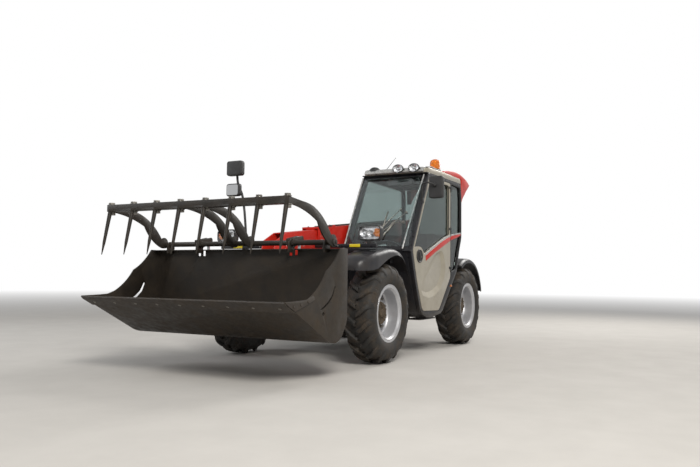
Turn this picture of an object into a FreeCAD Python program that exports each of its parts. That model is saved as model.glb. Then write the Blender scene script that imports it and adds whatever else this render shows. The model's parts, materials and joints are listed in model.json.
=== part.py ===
import FreeCAD, Part
import math
import os
from types import SimpleNamespace

import Sketcher

# Agricultural telehandler with a grab bucket. Millimetres. x runs forward from the front axle,
# y to the machine's left and z up. Heights are measured up from the axle line, and place()
# moves the whole machine so that its origin is under the middle of its length.

os.makedirs("parts", exist_ok=True)
vec = FreeCAD.Vector
doc = FreeCAD.newDocument("Telehandler")
sheet = doc.addObject("Spreadsheet::Sheet", "Sizes")

# name, value, what it measures
driving_sizes = (
    ("wheel_base", 2815, "front axle to rear axle"),
    ("wheels_width", 2350, "over the outer faces of the tyres"),
    ("tyre_diameter", 1170, "over the lugs"),
    ("tyre_width", 380, "section of the tyre"),
    ("lug_height", 34, "height of the tread bars"),
    ("rim_seat", 310, "radius of the rim under the tyre"),
    ("hub_cap_radius", 145, "flat hub cap in the middle of the disc"),
    ("kingpin_inset", 185, "kingpin inboard of the tyre's middle"),
    ("yoke_rise", 170, "half height of the swivel housing"),
    ("beam_radius", 85, "axle beam"),
    ("bowl_radius", 150, "differential bowl"),
    ("rear_overhang", 785, "rear axle to the end of the hitch"),
    ("frame_half", 145, "middle of the machine to a side plate"),
    ("frame_plate", 25, "thickness of a side plate"),
    ("frame_top", 395, "top of the frame above the axles"),
    ("frame_low", 125, "underside of the frame below the axles"),
    ("arch_rise", 135, "frame over an axle beam"),
    ("tower_top", 1375, "top of the boom tower above the axles"),
    ("pivot_back", 235, "boom pivot behind the rear axle"),
    ("pivot_rise", 1195, "boom pivot above the axles"),
    ("pivot_pin", 35, "radius of the boom pivot pin"),
    ("boom_slope", 6.2, "degrees that the boom points down at rest"),
    ("boom_half_width", 120, "outer boom"),
    ("boom_half_height", 165, "outer boom"),
    ("boom_wall", 10, "wall of the outer boom"),
    ("outer_length", 3000, "boom pivot to the mouth of the outer boom"),
    ("inner_half_width", 95, "inner boom"),
    ("inner_half_height", 140, "inner boom"),
    ("inner_wall", 9, "wall of the inner boom"),
    ("inner_length", 3200, "boom pivot to the end of the inner boom's tube"),
    ("tilt_pivot_x", 1050, "carriage pivot ahead of the front axle"),
    ("tilt_pivot_rise", 75, "carriage pivot above the axles"),
    ("lip_reach", 2395, "bucket lip ahead of the front axle"),
    ("bucket_half", 1267, "half width of the bucket"),
    ("bucket_sheet", 10, "bucket floor and back"),
    ("bucket_side", 12, "bucket side plate"),
    ("bucket_back_x", 1270, "back of the bucket ahead of the front axle"),
    ("bucket_height", 715, "top of the bucket above the axles"),
    ("grab_half", 1145, "half width of the grab"),
    ("grab_bar_x", 2200, "front of the grab's bar ahead of the front axle"),
    ("grab_bar_rise", 1090, "underside of the grab's bar above the axles"),
    ("tine_pitch", 320, "grab tine to grab tine"),
    ("tine_radius", 22, "grab tine at its root"),
    ("cab_inner", 180, "right wall of the cab from the middle of the machine"),
    ("cab_outer", 1130, "left face of the cab from the middle of the machine"),
    ("cab_wall", 45, "thickness of the cab's frame and of the door"),
    ("cab_front", 620, "front of the cab behind the front axle"),
    ("cab_back", 315, "back of the cab ahead of the rear axle"),
    ("belt_rise", 775, "front foot of the windscreen above the axles"),
    ("cab_height", 1835, "underside of the roof above the axles"),
    ("roof_thickness", 85, "cab roof"),
    ("door_gap", 6, "gap round the door"),
    ("glass", 6, "thickness of a pane"),
    ("fender_gap", 55, "front fender over the tyre"),
    ("fender_sheet", 14, "fender skin"),
    ("rear_fender_gap", 116, "rear fender round the tyre"),
    ("hood_inner", 205, "inner side of the engine hood"),
    ("hood_outer", 1130, "outer side of the engine hood"),
    ("hood_front", 740, "front of the hood behind the front axle"),
    ("hood_back", 712, "back of the hood ahead of the rear axle"),
    ("hood_top", 735, "top of the hood above the axles"),
    ("hood_split", 330, "lower edge of the lid above the axles"),
    ("hood_base", 110, "bottom of the engine bay below the axles"),
    ("hood_skin", 14, "hood lid and bay walls"),
    ("mirror_reach", 1430, "outer edge of either mirror"),
    ("hitch_pin_radius", 16, "bore for the tow pin"),
    ("tie_down_radius", 20, "tie-down holes in the nose lugs and the tail bar"),
    ("running_gap", 0.3, "between faces that slide"),
)


class Size:
    """A length with its present value and the sheet expression that gives it."""

    def __init__(self, value, text):
        self.value = float(value)
        self.text = text

    def joined(self, sign, other, value):
        return Size(value, f"({self.text} {sign} {text_of(other)})")

    def __add__(self, other):
        return self.joined("+", other, self.value + value_of(other))

    def __sub__(self, other):
        return self.joined("-", other, self.value - value_of(other))

    def __mul__(self, other):
        return self.joined("*", other, self.value * value_of(other))

    def __truediv__(self, other):
        return self.joined("/", other, self.value / value_of(other))

    def __radd__(self, other):
        return as_size(other) + self

    def __rsub__(self, other):
        return as_size(other) - self

    def __rmul__(self, other):
        return as_size(other) * self

    def __neg__(self):
        return Size(-self.value, f"(0 - {self.text})")


def value_of(amount):
    return amount.value if isinstance(amount, Size) else float(amount)


def text_of(amount):
    return amount.text if isinstance(amount, Size) else f"({float(amount)})"


def as_size(amount):
    return amount if isinstance(amount, Size) else Size(amount, text_of(amount))


for row, (alias, value, note) in enumerate(driving_sizes, start=1):
    sheet.set(f"A{row}", alias)
    sheet.set(f"B{row}", str(value))
    sheet.set(f"C{row}", note)
    sheet.setAlias(f"B{row}", alias)
doc.recompute()
size = SimpleNamespace(**{alias: Size(value, f"Sizes.{alias}") for alias, value, note in driving_sizes})

axle_z = size.tyre_diameter / 2
tyre_radius = size.tyre_diameter / 2
rear_x = -size.wheel_base
wheel_y = (size.wheels_width - size.tyre_width) / 2
kingpin_y = wheel_y - size.kingpin_inset
tail_x = rear_x - size.rear_overhang
middle_shift = -(tail_x + size.lip_reach) / 2


def up(rise):
    """A height above the ground from one above the axle line."""
    return axle_z + rise


def mean(first, second):
    return (as_size(first) + second) / 2


def slope_between(start, end):
    """Turn about y that points x from one (x, z) place to another."""
    drop = as_size(start[1]) - end[1]
    run = as_size(end[0]) - start[0]
    return Size(math.degrees(math.atan2(drop.value, run.value)), f"atan2({drop.text}; {run.text})")


def distance(start, end):
    run = as_size(end[0]) - start[0]
    rise = as_size(end[1]) - start[1]
    return Size(math.hypot(run.value, rise.value), f"sqrt({run.text}^2 + {rise.text}^2)")


level = SimpleNamespace(x=0, z=0, slope=None)


def frame_at(place_xz, slope):
    """A frame whose x axis is turned down by slope about y."""
    return SimpleNamespace(x=place_xz[0], z=place_xz[1], slope=slope)


def place(item, x, y, z, turn=None):
    if turn is not None:
        item.Placement = FreeCAD.Placement(vec(), turn)
    item.setExpression("Placement.Base.x", (middle_shift + x).text)
    item.setExpression("Placement.Base.y", text_of(y))
    item.setExpression("Placement.Base.z", text_of(z))


def place_in(item, frame, y):
    place(item, frame.x, y, frame.z)
    if frame.slope is not None:
        item.Placement = FreeCAD.Placement(vec(), FreeCAD.Rotation(vec(0, 1, 0), frame.slope.value))
        item.setExpression("Placement.Rotation.Angle", frame.slope.text)


def draw(sketch, corners):
    """Closed outline. A corner is (a, b), or (a, b, radius) when an arc ends there:
    a positive radius turns left along the outline and a negative one right."""
    sides = []
    rules = []
    sized = []
    for number, corner in enumerate(corners):
        before = corners[number - 1]
        start = vec(value_of(before[0]), value_of(before[1]), 0)
        end = vec(value_of(corner[0]), value_of(corner[1]), 0)
        if len(corner) == 2:
            sides.append((sketch.addGeometry(Part.LineSegment(start, end)), 1, 2))
            continue
        radius = value_of(corner[2])
        chord = end - start
        left = vec(-chord.y, chord.x, 0).normalize()
        height = math.copysign(math.sqrt(max(radius ** 2 - chord.Length ** 2 / 4, 0)), radius)
        centre = (start + end) * 0.5 + left * height
        first, last = (start, end) if radius > 0 else (end, start)
        angles = [math.atan2(tip.y - centre.y, tip.x - centre.x) for tip in (first, last)]
        circle = Part.Circle(centre, vec(0, 0, 1), abs(radius))
        arc = sketch.addGeometry(Part.ArcOfCircle(circle, *angles))
        sides.append((arc, 1, 2) if radius > 0 else (arc, 2, 1))
        rules.append(Sketcher.Constraint("Radius", arc, abs(radius)))
        sized.append(corner[2] if radius > 0 else -as_size(corner[2]))
    for number, (side, tail, tip) in enumerate(sides):
        following, head = sides[(number + 1) % len(sides)][:2]
        rules.append(Sketcher.Constraint("Coincident", side, tip, following, head))
        sized.append(None)
        for kind, amount in zip(("DistanceX", "DistanceY"), corners[number]):
            rules.append(Sketcher.Constraint(kind, -1, 1, side, tip, value_of(amount)))
            sized.append(amount)
    bind_rules(sketch, rules, sized)


def draw_circle(sketch, a, b, radius):
    centre = vec(value_of(a), value_of(b), 0)
    ring = sketch.addGeometry(Part.Circle(centre, vec(0, 0, 1), value_of(radius)))
    rules = [
        Sketcher.Constraint("DistanceX", -1, 1, ring, 3, value_of(a)),
        Sketcher.Constraint("DistanceY", -1, 1, ring, 3, value_of(b)),
        Sketcher.Constraint("Radius", ring, value_of(radius)),
    ]
    bind_rules(sketch, rules, [a, b, radius])


def bind_rules(sketch, rules, sized):
    first = sketch.ConstraintCount
    sketch.addConstraint(rules)
    for number, amount in enumerate(sized):
        if isinstance(amount, Size):
            sketch.setExpression(f"Constraints[{first + number}]", amount.text)


def new_sketch(body, role, outlines):
    """Sketch on the body's own origin plane; an outline of one triple is a circle."""
    sketch = body.newObject("Sketcher::SketchObject", body.Name + "Outline")
    plane = [item for item in body.Origin.OriginFeatures if item.Role == role][0]
    sketch.AttachmentSupport = [(plane, "")]
    sketch.MapMode = "FlatFace"
    for corners in outlines:
        if len(corners) == 1:
            draw_circle(sketch, *corners[0])
        else:
            draw(sketch, corners)
    return sketch


def pad(name, low, high, *outlines, frame=level):
    """Outlines in x and z, thick in y from low to high."""
    body = doc.addObject("PartDesign::Body", name)
    feature = body.newObject("PartDesign::Pad", name + "Pad")
    feature.Profile = new_sketch(body, "XZ_Plane", outlines)
    feature.setExpression("Length", (as_size(high) - low).text)
    body.Tip = feature
    place_in(body, frame, high)
    return body


def slab(name, low, high, *outlines):
    """Outlines in x and y, thick in z from low to high."""
    body = doc.addObject("PartDesign::Body", name)
    feature = body.newObject("PartDesign::Pad", name + "Pad")
    feature.Profile = new_sketch(body, "XY_Plane", outlines)
    feature.setExpression("Length", (as_size(high) - low).text)
    body.Tip = feature
    place(body, 0, 0, low)
    return body


def wall(name, low, high, *outlines):
    """Outlines in y and z, thick in x from low to high."""
    body = doc.addObject("PartDesign::Body", name)
    feature = body.newObject("PartDesign::Pad", name + "Pad")
    feature.Profile = new_sketch(body, "YZ_Plane", outlines)
    feature.setExpression("Length", (as_size(high) - low).text)
    body.Tip = feature
    place(body, low, 0, 0)
    return body


def spun(name, x, y, z, corners, start=None):
    """Section in y and radius, turned about a line along y from an angle of its own."""
    body = doc.addObject("PartDesign::Body", name)
    feature = body.newObject("PartDesign::Revolution", name + "Turn")
    feature.Profile = new_sketch(body, "YZ_Plane", [corners])
    feature.ReferenceAxis = (feature.Profile[0], ["H_Axis"])
    feature.Angle = 360
    body.Tip = feature
    turn = None if start is None else FreeCAD.Rotation(vec(0, 1, 0), start)
    place(body, x, y, z, turn)
    return body


def turned(name, frame, y, corners):
    """Section in x and radius, turned about the x axis of a frame."""
    body = doc.addObject("PartDesign::Body", name)
    feature = body.newObject("PartDesign::Revolution", name + "Turn")
    feature.Profile = new_sketch(body, "XZ_Plane", [corners])
    feature.ReferenceAxis = (feature.Profile[0], ["H_Axis"])
    feature.Angle = 360
    body.Tip = feature
    place_in(body, frame, y)
    return body


def box(name, x, y, z):
    """Block between the low and high of each pair."""
    item = doc.addObject("Part::Box", name)
    for side, pair in (("Length", x), ("Width", y), ("Height", z)):
        item.setExpression(side, (as_size(pair[1]) - pair[0]).text)
    place(item, x[0], y[0], z[0])
    return item


turn_of = {
    "x": FreeCAD.Rotation(vec(0, 1, 0), 90),
    "y": FreeCAD.Rotation(vec(1, 0, 0), -90),
    "z": FreeCAD.Rotation(),
}


def cylinder(name, axis, radius, low, high, centre):
    """Round bar along an axis; centre gives its other two coordinates in x, y, z order."""
    item = doc.addObject("Part::Cylinder", name)
    item.setExpression("Radius", text_of(radius))
    item.setExpression("Height", (as_size(high) - low).text)
    corner = {
        "x": (low, centre[0], centre[1]),
        "y": (centre[0], low, centre[1]),
        "z": (centre[0], centre[1], low),
    }[axis]
    place(item, *corner, turn_of[axis])
    return item


def fuse(name, pieces):
    item = doc.addObject("Part::MultiFuse", name)
    item.Shapes = pieces
    return item


def cut(name, base, tool):
    item = doc.addObject("Part::Cut", name)
    item.Base = base
    item.Tool = tool
    return item


def common(name, pieces):
    item = doc.addObject("Part::MultiCommon", name)
    item.Shapes = pieces
    return item


def group(name, pieces):
    item = doc.addObject("Part::Compound", name)
    item.Links = pieces
    return item


def mirrored(name, source):
    """The same piece on the other side of the machine."""
    item = doc.addObject("Part::Mirroring", name)
    item.Source = source
    item.Base = vec(0, 0, 0)
    item.Normal = vec(0, 1, 0)
    return item


nodes = []


def node(label, item):
    """Register a finished sub-part under the name of its file."""
    item.Label = label
    nodes.append(item)
    return item


def rectangle(low_a, high_a, low_b, high_b):
    return [(low_a, low_b), (high_a, low_b), (high_a, high_b), (low_a, high_b)]


def along(start, end, share):
    """A place part of the way from one (x, z) place to another."""
    return tuple(low + (as_size(high) - low) * share for low, high in zip(start, end))


def soften(corners, cutbacks):
    """The outline with an arc at each corner that has a cutback, its distance from the corner."""
    result = []
    for number, (corner, cutback) in enumerate(zip(corners, cutbacks)):
        if not cutback:
            result.append(corner)
            continue
        ends = []
        arms = []
        for other in (corners[number - 1], corners[(number + 1) % len(corners)]):
            arm = vec(value_of(other[0]) - value_of(corner[0]), value_of(other[1]) - value_of(corner[1]), 0)
            ends.append(along(corner, other, cutback / arm.Length))
            arms.append(arm.normalize())
        turn = arms[1].cross(arms[0]).z
        radius = cutback * math.tan(arms[0].getAngle(arms[1]) / 2)
        result += [ends[0], ends[1] + (math.copysign(radius, turn),)]
    return result


# Wheels

def tyre_section(tread, shoulder):
    """Half-rounded section with its tread and shoulders at the given radii."""
    half = size.tyre_width / 2
    bead = half - 45
    seat = size.rim_seat
    right = [
        (half - 60, tread),
        (half - 12, shoulder),
        (half, seat + 130),
        (half - 8, seat + 60),
        (bead, seat + 32),
        (bead, seat),
    ]
    left = [(-y, radius) for y, radius in reversed(right)]
    return left + right


def lug_outline(sign):
    """One bar in plan, from just over the middle of the tread to the shoulder."""
    edge = size.tyre_width / 2 + 5
    corners = [
        (38, -14), (86, 8), (58, 74), (-6, 128), (-30, edge), (-92, edge), (-74, 120), (-16, 62),
    ]
    if sign < 0:
        corners = [(x, -y) for x, y in reversed(corners)]
    return corners


def lug_ring(name, x, sign, turn):
    """Bars of one side of the tread, as solid blocks that reach past the tread."""
    body = doc.addObject("PartDesign::Body", name)
    sketch = new_sketch(body, "XY_Plane", [lug_outline(sign)])
    sketch.setExpression("AttachmentOffset.Base.z", (tyre_radius - size.lug_height - 30).text)
    block = body.newObject("PartDesign::Pad", name + "Pad")
    block.Profile = sketch
    block.setExpression("Length", (size.lug_height + 60).text)
    body.Tip = block
    ring = body.newObject("PartDesign::PolarPattern", name + "Ring")
    ring.Originals = [block]
    axis = [item for item in body.Origin.OriginFeatures if item.Role == "Y_Axis"][0]
    ring.Axis = (axis, [""])
    ring.Angle = 360
    ring.Occurrences = lug_count
    body.Tip = ring
    place(body, x, wheel_y, axle_z, FreeCAD.Rotation(vec(0, 1, 0), turn))
    return body


def lug_band():
    """Section of the ring that trims the bars: rounded tread line, inner side inside the carcass."""
    half = size.tyre_width / 2
    right = [
        (half - 56, tyre_radius),
        (half - 16, tyre_radius - 82),
        (half - 40, tyre_radius - 130),
    ]
    left = [(-y, radius) for y, radius in reversed(right)]
    return left + right


def make_tyre(name, x):
    shoulder_drop = 66
    tread = tyre_radius - size.lug_height
    carcass = spun("Carcass" + name, x, wheel_y, axle_z,
                   tyre_section(tread, tread - shoulder_drop), start=5.3)
    band = spun("TreadBand" + name, x, wheel_y, axle_z, lug_band())
    bars = fuse("Bars" + name, [
        lug_ring("LeftBars" + name, x, 1, 0),
        lug_ring("RightBars" + name, x, -1, 180 / lug_count),
    ])
    tyre = doc.addObject("Part::Fuse", "Tyre" + name)
    tyre.Base = carcass
    tyre.Tool = common("Lugs" + name, [band, bars])
    return tyre


def rim_section():
    bead = size.tyre_width / 2 - 45
    well = size.rim_seat - 12
    lip = size.rim_seat + 30
    seat = size.rim_seat - size.running_gap
    gap = size.running_gap
    disc = (-10, 4)
    hub = (-size.kingpin_inset + hub_carrier_length + gap, 52)
    return [
        (hub[0], 0),
        (hub[0], size.hub_cap_radius),
        (disc[0], size.hub_cap_radius),
        (disc[0] - 26, well - 40),
        (disc[0] - 26, well),
        (-bead - 12, well),
        (-bead - 12, lip),
        (-bead - gap, lip),
        (-bead - gap, seat),
        (bead + gap, seat),
        (bead + gap, lip),
        (bead + 12, lip),
        (bead + 12, well + 6),
        (bead - 10, well - 14),
        (disc[1] - 10, well - 14),
        (disc[1] - 26, well - 46),
        (disc[1], size.hub_cap_radius + 6),
        (disc[1], size.hub_cap_radius - 10),
        (hub[1] - 14, size.hub_cap_radius - 18),
        (hub[1], size.hub_cap_radius - 34),
        (hub[1], 0),
    ]


hub_carrier_length = 135
lug_count = 18
rim_holes = 8
axle_places = (("front", as_size(0)), ("rear", rear_x))


def rim_openings(name, x):
    """Long rounded holes round the disc."""
    low = size.rim_seat - 88
    high = size.rim_seat - 40
    outlines = []
    for number in range(rim_holes):
        corners = []
        for share, radius in ((-9, low), (9, low), (9, high), (-9, high)):
            angle = math.radians(number * 360 / rim_holes + share)
            corners.append((radius * math.cos(angle), radius * math.sin(angle)))
        outlines.append(soften(corners, [18, 18, 18, 18]))
    tool = pad("RimOpening" + name, -60, 60, *outlines)
    place(tool, x, wheel_y + 60, axle_z)
    return tool


def make_wheels():
    for name, x in axle_places:
        tyre = make_tyre(name, x)
        wheel = spun("Wheel" + name, x, wheel_y, axle_z, rim_section())
        rim = cut("Rim" + name, wheel, rim_openings(name, x))
        node(f"tyre_{name}_left", tyre)
        node(f"rim_{name}_left", rim)
        node(f"tyre_{name}_right", mirrored("TyreRight" + name, tyre))
        node(f"rim_{name}_right", mirrored("RimRight" + name, rim))


def make_knuckles():
    half = size.yoke_rise - size.running_gap
    for name, x in axle_places:
        housing = cylinder("Housing" + name, "z", 80, axle_z - half, axle_z + half, (x, kingpin_y))
        carrier = cylinder(
            "Carrier" + name, "y", 120, kingpin_y, kingpin_y + hub_carrier_length, (x, axle_z))
        back = x - 80 if name == "front" else x + 80
        arm_tip = x - 200 if name == "front" else x + 200
        low_x, high_x = (arm_tip, back) if name == "front" else (back, arm_tip)
        arm = box("Arm" + name, (low_x - 20, high_x + 20), (kingpin_y - 30, kingpin_y + 30),
                  (axle_z - 25, axle_z + 25))
        knuckle = fuse("Knuckle" + name, [housing, carrier, arm])
        node(f"knuckle_{name}_left", knuckle)
        node(f"knuckle_{name}_right", mirrored("KnuckleRight" + name, knuckle))


def make_axles():
    for name, x in axle_places:
        pieces = [
            cylinder("Beam" + name, "y", size.beam_radius, -(kingpin_y - 120), kingpin_y - 120, (x, axle_z)),
            cylinder("Bowl" + name, "y", size.bowl_radius, -(size.frame_half - 15),
                     size.frame_half - 15, (x, axle_z)),
        ]
        arm_high = size.yoke_rise + 30
        for side, sign in (("Left", 1), ("Right", -1)):
            def across(low, high):
                pair = (as_size(low) * sign, as_size(high) * sign)
                return pair if sign > 0 else (pair[1], pair[0])

            web_y = across(kingpin_y - 160, kingpin_y - 110)
            arm_y = across(kingpin_y - 160, kingpin_y + 75)
            pad_y = across(size.frame_half - 15, size.frame_half + size.frame_plate + 20)
            where = name + side
            pieces += [
                box("Web" + where, (x - 75, x + 75), web_y, (axle_z - arm_high, axle_z + arm_high)),
                box("YokeTop" + where, (x - 70, x + 70), arm_y, (up(size.yoke_rise), up(arm_high))),
                box("YokeLow" + where, (x - 70, x + 70), arm_y,
                    (axle_z - arm_high, axle_z - size.yoke_rise)),
                cylinder("CapTop" + where, "z", 48, up(arm_high), up(arm_high + 22), (x, kingpin_y * sign)),
                box("Pad" + where, (x - 90, x + 90), pad_y, (axle_z + 60, up(size.arch_rise))),
            ]
        node(f"{name}_axle", fuse("Axle" + name, pieces))


# Chassis

pivot = (rear_x - size.pivot_back, up(size.pivot_rise))
boom_frame = frame_at(pivot, Size(size.boom_slope.value, "Sizes.boom_slope * 1 deg"))
lift_base = (rear_x + 315, up(115))
frame_tail = tail_x + 150


def side_plate_outline():
    low = axle_z - size.frame_low
    top = up(size.frame_top)
    arch = up(size.arch_rise)
    pivot_x = pivot[0]
    return [
        (430, low + 60),
        (430, up(215)),
        (150, top),
        (pivot_x + 950, top),
        (pivot_x + 560, up(620)),
        (pivot_x + 180, up(size.tower_top) - 60),
        (pivot_x + 90, up(size.tower_top)),
        (pivot_x - 110, up(size.tower_top)),
        (pivot_x - 320, up(1015)),
        (frame_tail, up(465)),
        (frame_tail, low + 90),
        (rear_x - 270, low + 90),
        (rear_x - 200, arch),
        (rear_x + 200, arch),
        (rear_x + 290, low),
        (-310, low),
        (-200, arch),
        (200, arch),
        (290, low + 60),
    ]


def make_chassis(crowns):
    inner = size.frame_half
    outer = size.frame_half + size.frame_plate
    low = axle_z - size.frame_low
    pin = cylinder("PivotPin", "y", size.pivot_pin, -outer - 12, outer + 12, pivot)
    node("boom_pin", pin)
    plate = pad("SidePlate", inner, outer, side_plate_outline(), [(*pivot, size.pivot_pin)])
    plates = {"left": (plate, 1), "right": (mirrored("SidePlateRight", plate), -1)}
    for side, (sheet, sign) in plates.items():
        def across(near, far):
            pair = (as_size(near) * sign, as_size(far) * sign)
            return pair if sign > 0 else (pair[1], pair[0])

        reach_to = size.cab_inner if sign > 0 else size.hood_inner
        pieces = [sheet]
        for x in (-1130, -1800):
            pieces.append(box(f"MountBlock{side}{-x}", (x, x + 120), across(outer, reach_to),
                              (up(100), up(300))))
        crown = crowns[0] if sign > 0 else crowns[1]
        post = box("FenderPost" + side, (-290, -230), across(wheel_y - 60, wheel_y + 20),
                   (up(arm_rise + 40), up(tyre_radius + size.fender_gap) + 128))
        pieces += [
            box("Riser" + side, (-290, -230), across(outer, outer + 50), (up(250), up(arm_rise + 50))),
            box("FenderArm" + side, (-290, -230), across(outer, wheel_y + 60),
                (up(arm_rise), up(arm_rise + 50))),
            cut("FenderPostFitted" + side, post, crown),
        ]
        node(f"frame_{side}", fuse("Frame" + side, pieces))
    ears = []
    for sign in (1, -1):
        near, far = (52, 72) if sign > 0 else (-72, -52)
        ears.append(box(f"LiftEar{near}", (lift_base[0] - 60, lift_base[0] + 60), (near, far),
                        (up(60), lift_base[1] + 50)))
        pin_y = (52, 95) if sign > 0 else (-95, -52)
        ears.append(cylinder(f"LiftPin{near}", "y", 30, *pin_y, lift_base))
    nose = [box("NoseWall", (400, 430), (-inner, inner), (low + 60, up(215)))]
    eyes = []
    for sign in (1, -1):
        near, far = (60, 140) if sign > 0 else (-140, -60)
        nose.append(box(f"NoseLug{near}", (425, 505), (near, far), (up(-30), up(-5))))
        eyes.append(cylinder(f"NoseEye{near}", "z", size.tie_down_radius, up(-40), up(5), (468, 100 * sign)))
    cross = [
        cut("NoseWithEyes", fuse("NoseSet", nose), fuse("NoseEyes", eyes)),
        box("MidWall", (-720, -700), (-inner, inner), (up(150), up(size.frame_top) - 20)),
        box("TailWall", (frame_tail, frame_tail + 25), (-inner, inner), (low + 90, up(465))),
        fuse("LiftFloorSet", [box("LiftFloor", (lift_base[0] - 160, lift_base[0] + 200), (-inner, inner),
                                  (up(44), up(66)))] + ears),
    ]
    node("frame_cross", group("FrameCross", cross))


arm_rise = size.tyre_diameter / 2 + 12


def make_tail():
    low = axle_z - size.frame_low
    outer = size.frame_half + size.frame_plate
    back = frame_tail - 60
    weights = [
        box("WeightBack", (back, frame_tail), (-400, 400), (low + 60, up(440))),
        box("WeightLeft", (back, frame_tail + 170), (outer, 400), (low + 60, up(440))),
        box("WeightRight", (back, frame_tail + 170), (-400, -outer), (low + 60, up(440))),
        box("TailBar", (back, frame_tail), (-960, 960), (up(365), up(425))),
    ]
    eyes = []
    for sign in (1, -1):
        eyes.append(cylinder(f"TailEye{300 * sign}", "z", size.tie_down_radius, up(355), up(435),
                             (frame_tail - 30, 600 * sign)))
    node("counterweight", cut("Counterweight", fuse("WeightSet", weights), fuse("TailEyes", eyes)))
    jaw_z = axle_z - 10
    upper = box("JawTop", (tail_x, back), (-60, 60), (jaw_z + 40, jaw_z + 65))
    lower = box("JawLow", (tail_x, back), (-60, 60), (jaw_z - 65, jaw_z - 40))
    base = box("JawBase", (back - 15, back), (-90, 90), (jaw_z - 110, jaw_z + 110))
    jaw = fuse("Jaw", [upper, lower, base])
    bore = cylinder("HitchBore", "z", size.hitch_pin_radius, jaw_z - 80, jaw_z + 80, (tail_x + 38, 0))
    node("tow_hitch", cut("TowHitch", jaw, bore))
    lamps = []
    for sign in (1, -1):
        y_low, y_high = (780, 950) if sign > 0 else (-950, -780)
        lamps.append(box("RearLamp" + str(y_low), (frame_tail - 95, frame_tail - 60), (y_low, y_high),
                         (up(345), up(445))))
    node("rear_lamps", group("RearLamps", lamps))


def make_engine():
    front = -size.hood_front - 330
    back = rear_x + size.hood_back + 180
    node("engine_block", box("Engine", (back, front), (-size.hood_outer + 230, -size.hood_inner - 110),
                             (axle_z - size.hood_base + size.hood_skin, up(560))))


def make_driveline():
    gear = box("Gearbox", (-1750, -1380), (-95, 95), (axle_z - 110, up(130)))
    front = cylinder("ShaftFront", "x", 32, -1380, -size.bowl_radius, (0, axle_z))
    rear = cylinder("ShaftRear", "x", 32, rear_x + size.bowl_radius, -1750, (0, axle_z))
    hangers = box("GearHanger", (-1640, -1560), (-size.frame_half, size.frame_half), (up(60), up(110)))
    node("driveline", fuse("Driveline", [gear, front, rear, hangers]))


# Cab

cab_rear = rear_x + size.cab_back
foot = (-size.cab_front, up(size.belt_rise))
screen_lean = 580
header = (foot[0] - screen_lean, up(size.cab_height))
post_x = rear_x + 765
hinge_heights = (505, 1065, 1665)


def cab_outline():
    corners = [
        foot,
        (-760, up(395)),
        (-950, up(-35)),
        (-1250, up(-122)),
        (cab_rear + 780, up(-65)),
        (cab_rear + 170, up(510)),
        (cab_rear + 50, up(845)),
        (cab_rear - 40, up(1015)),
        (cab_rear - 40, up(size.cab_height) - 180),
        (cab_rear, up(size.cab_height)),
        header,
    ]
    return soften(corners, [0, 90, 110, 120, 90, 60, 60, 50, 60, 0, 0])


def door_outline(gap):
    """The door, or with a gap the opening that it closes."""
    top = up(size.cab_height) - 50
    lean = as_size(screen_lean) / (size.cab_height - size.belt_rise)
    front_top = foot[0] - 70 - lean * (size.cab_height - 50 - size.belt_rise)
    back = post_x
    corners = [
        (foot[0] - 70 + gap, up(size.belt_rise)),
        (front_top + gap, top + gap),
        (back - gap, top + gap),
        (back - gap, up(430)),
        (back + 450 - gap, up(-25) - gap),
        (-1010 + gap, up(-10) - gap),
        (-830 + gap, up(385)),
    ]
    return soften(corners, [60, 70, 45, 45, 60, 70, 60])


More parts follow.
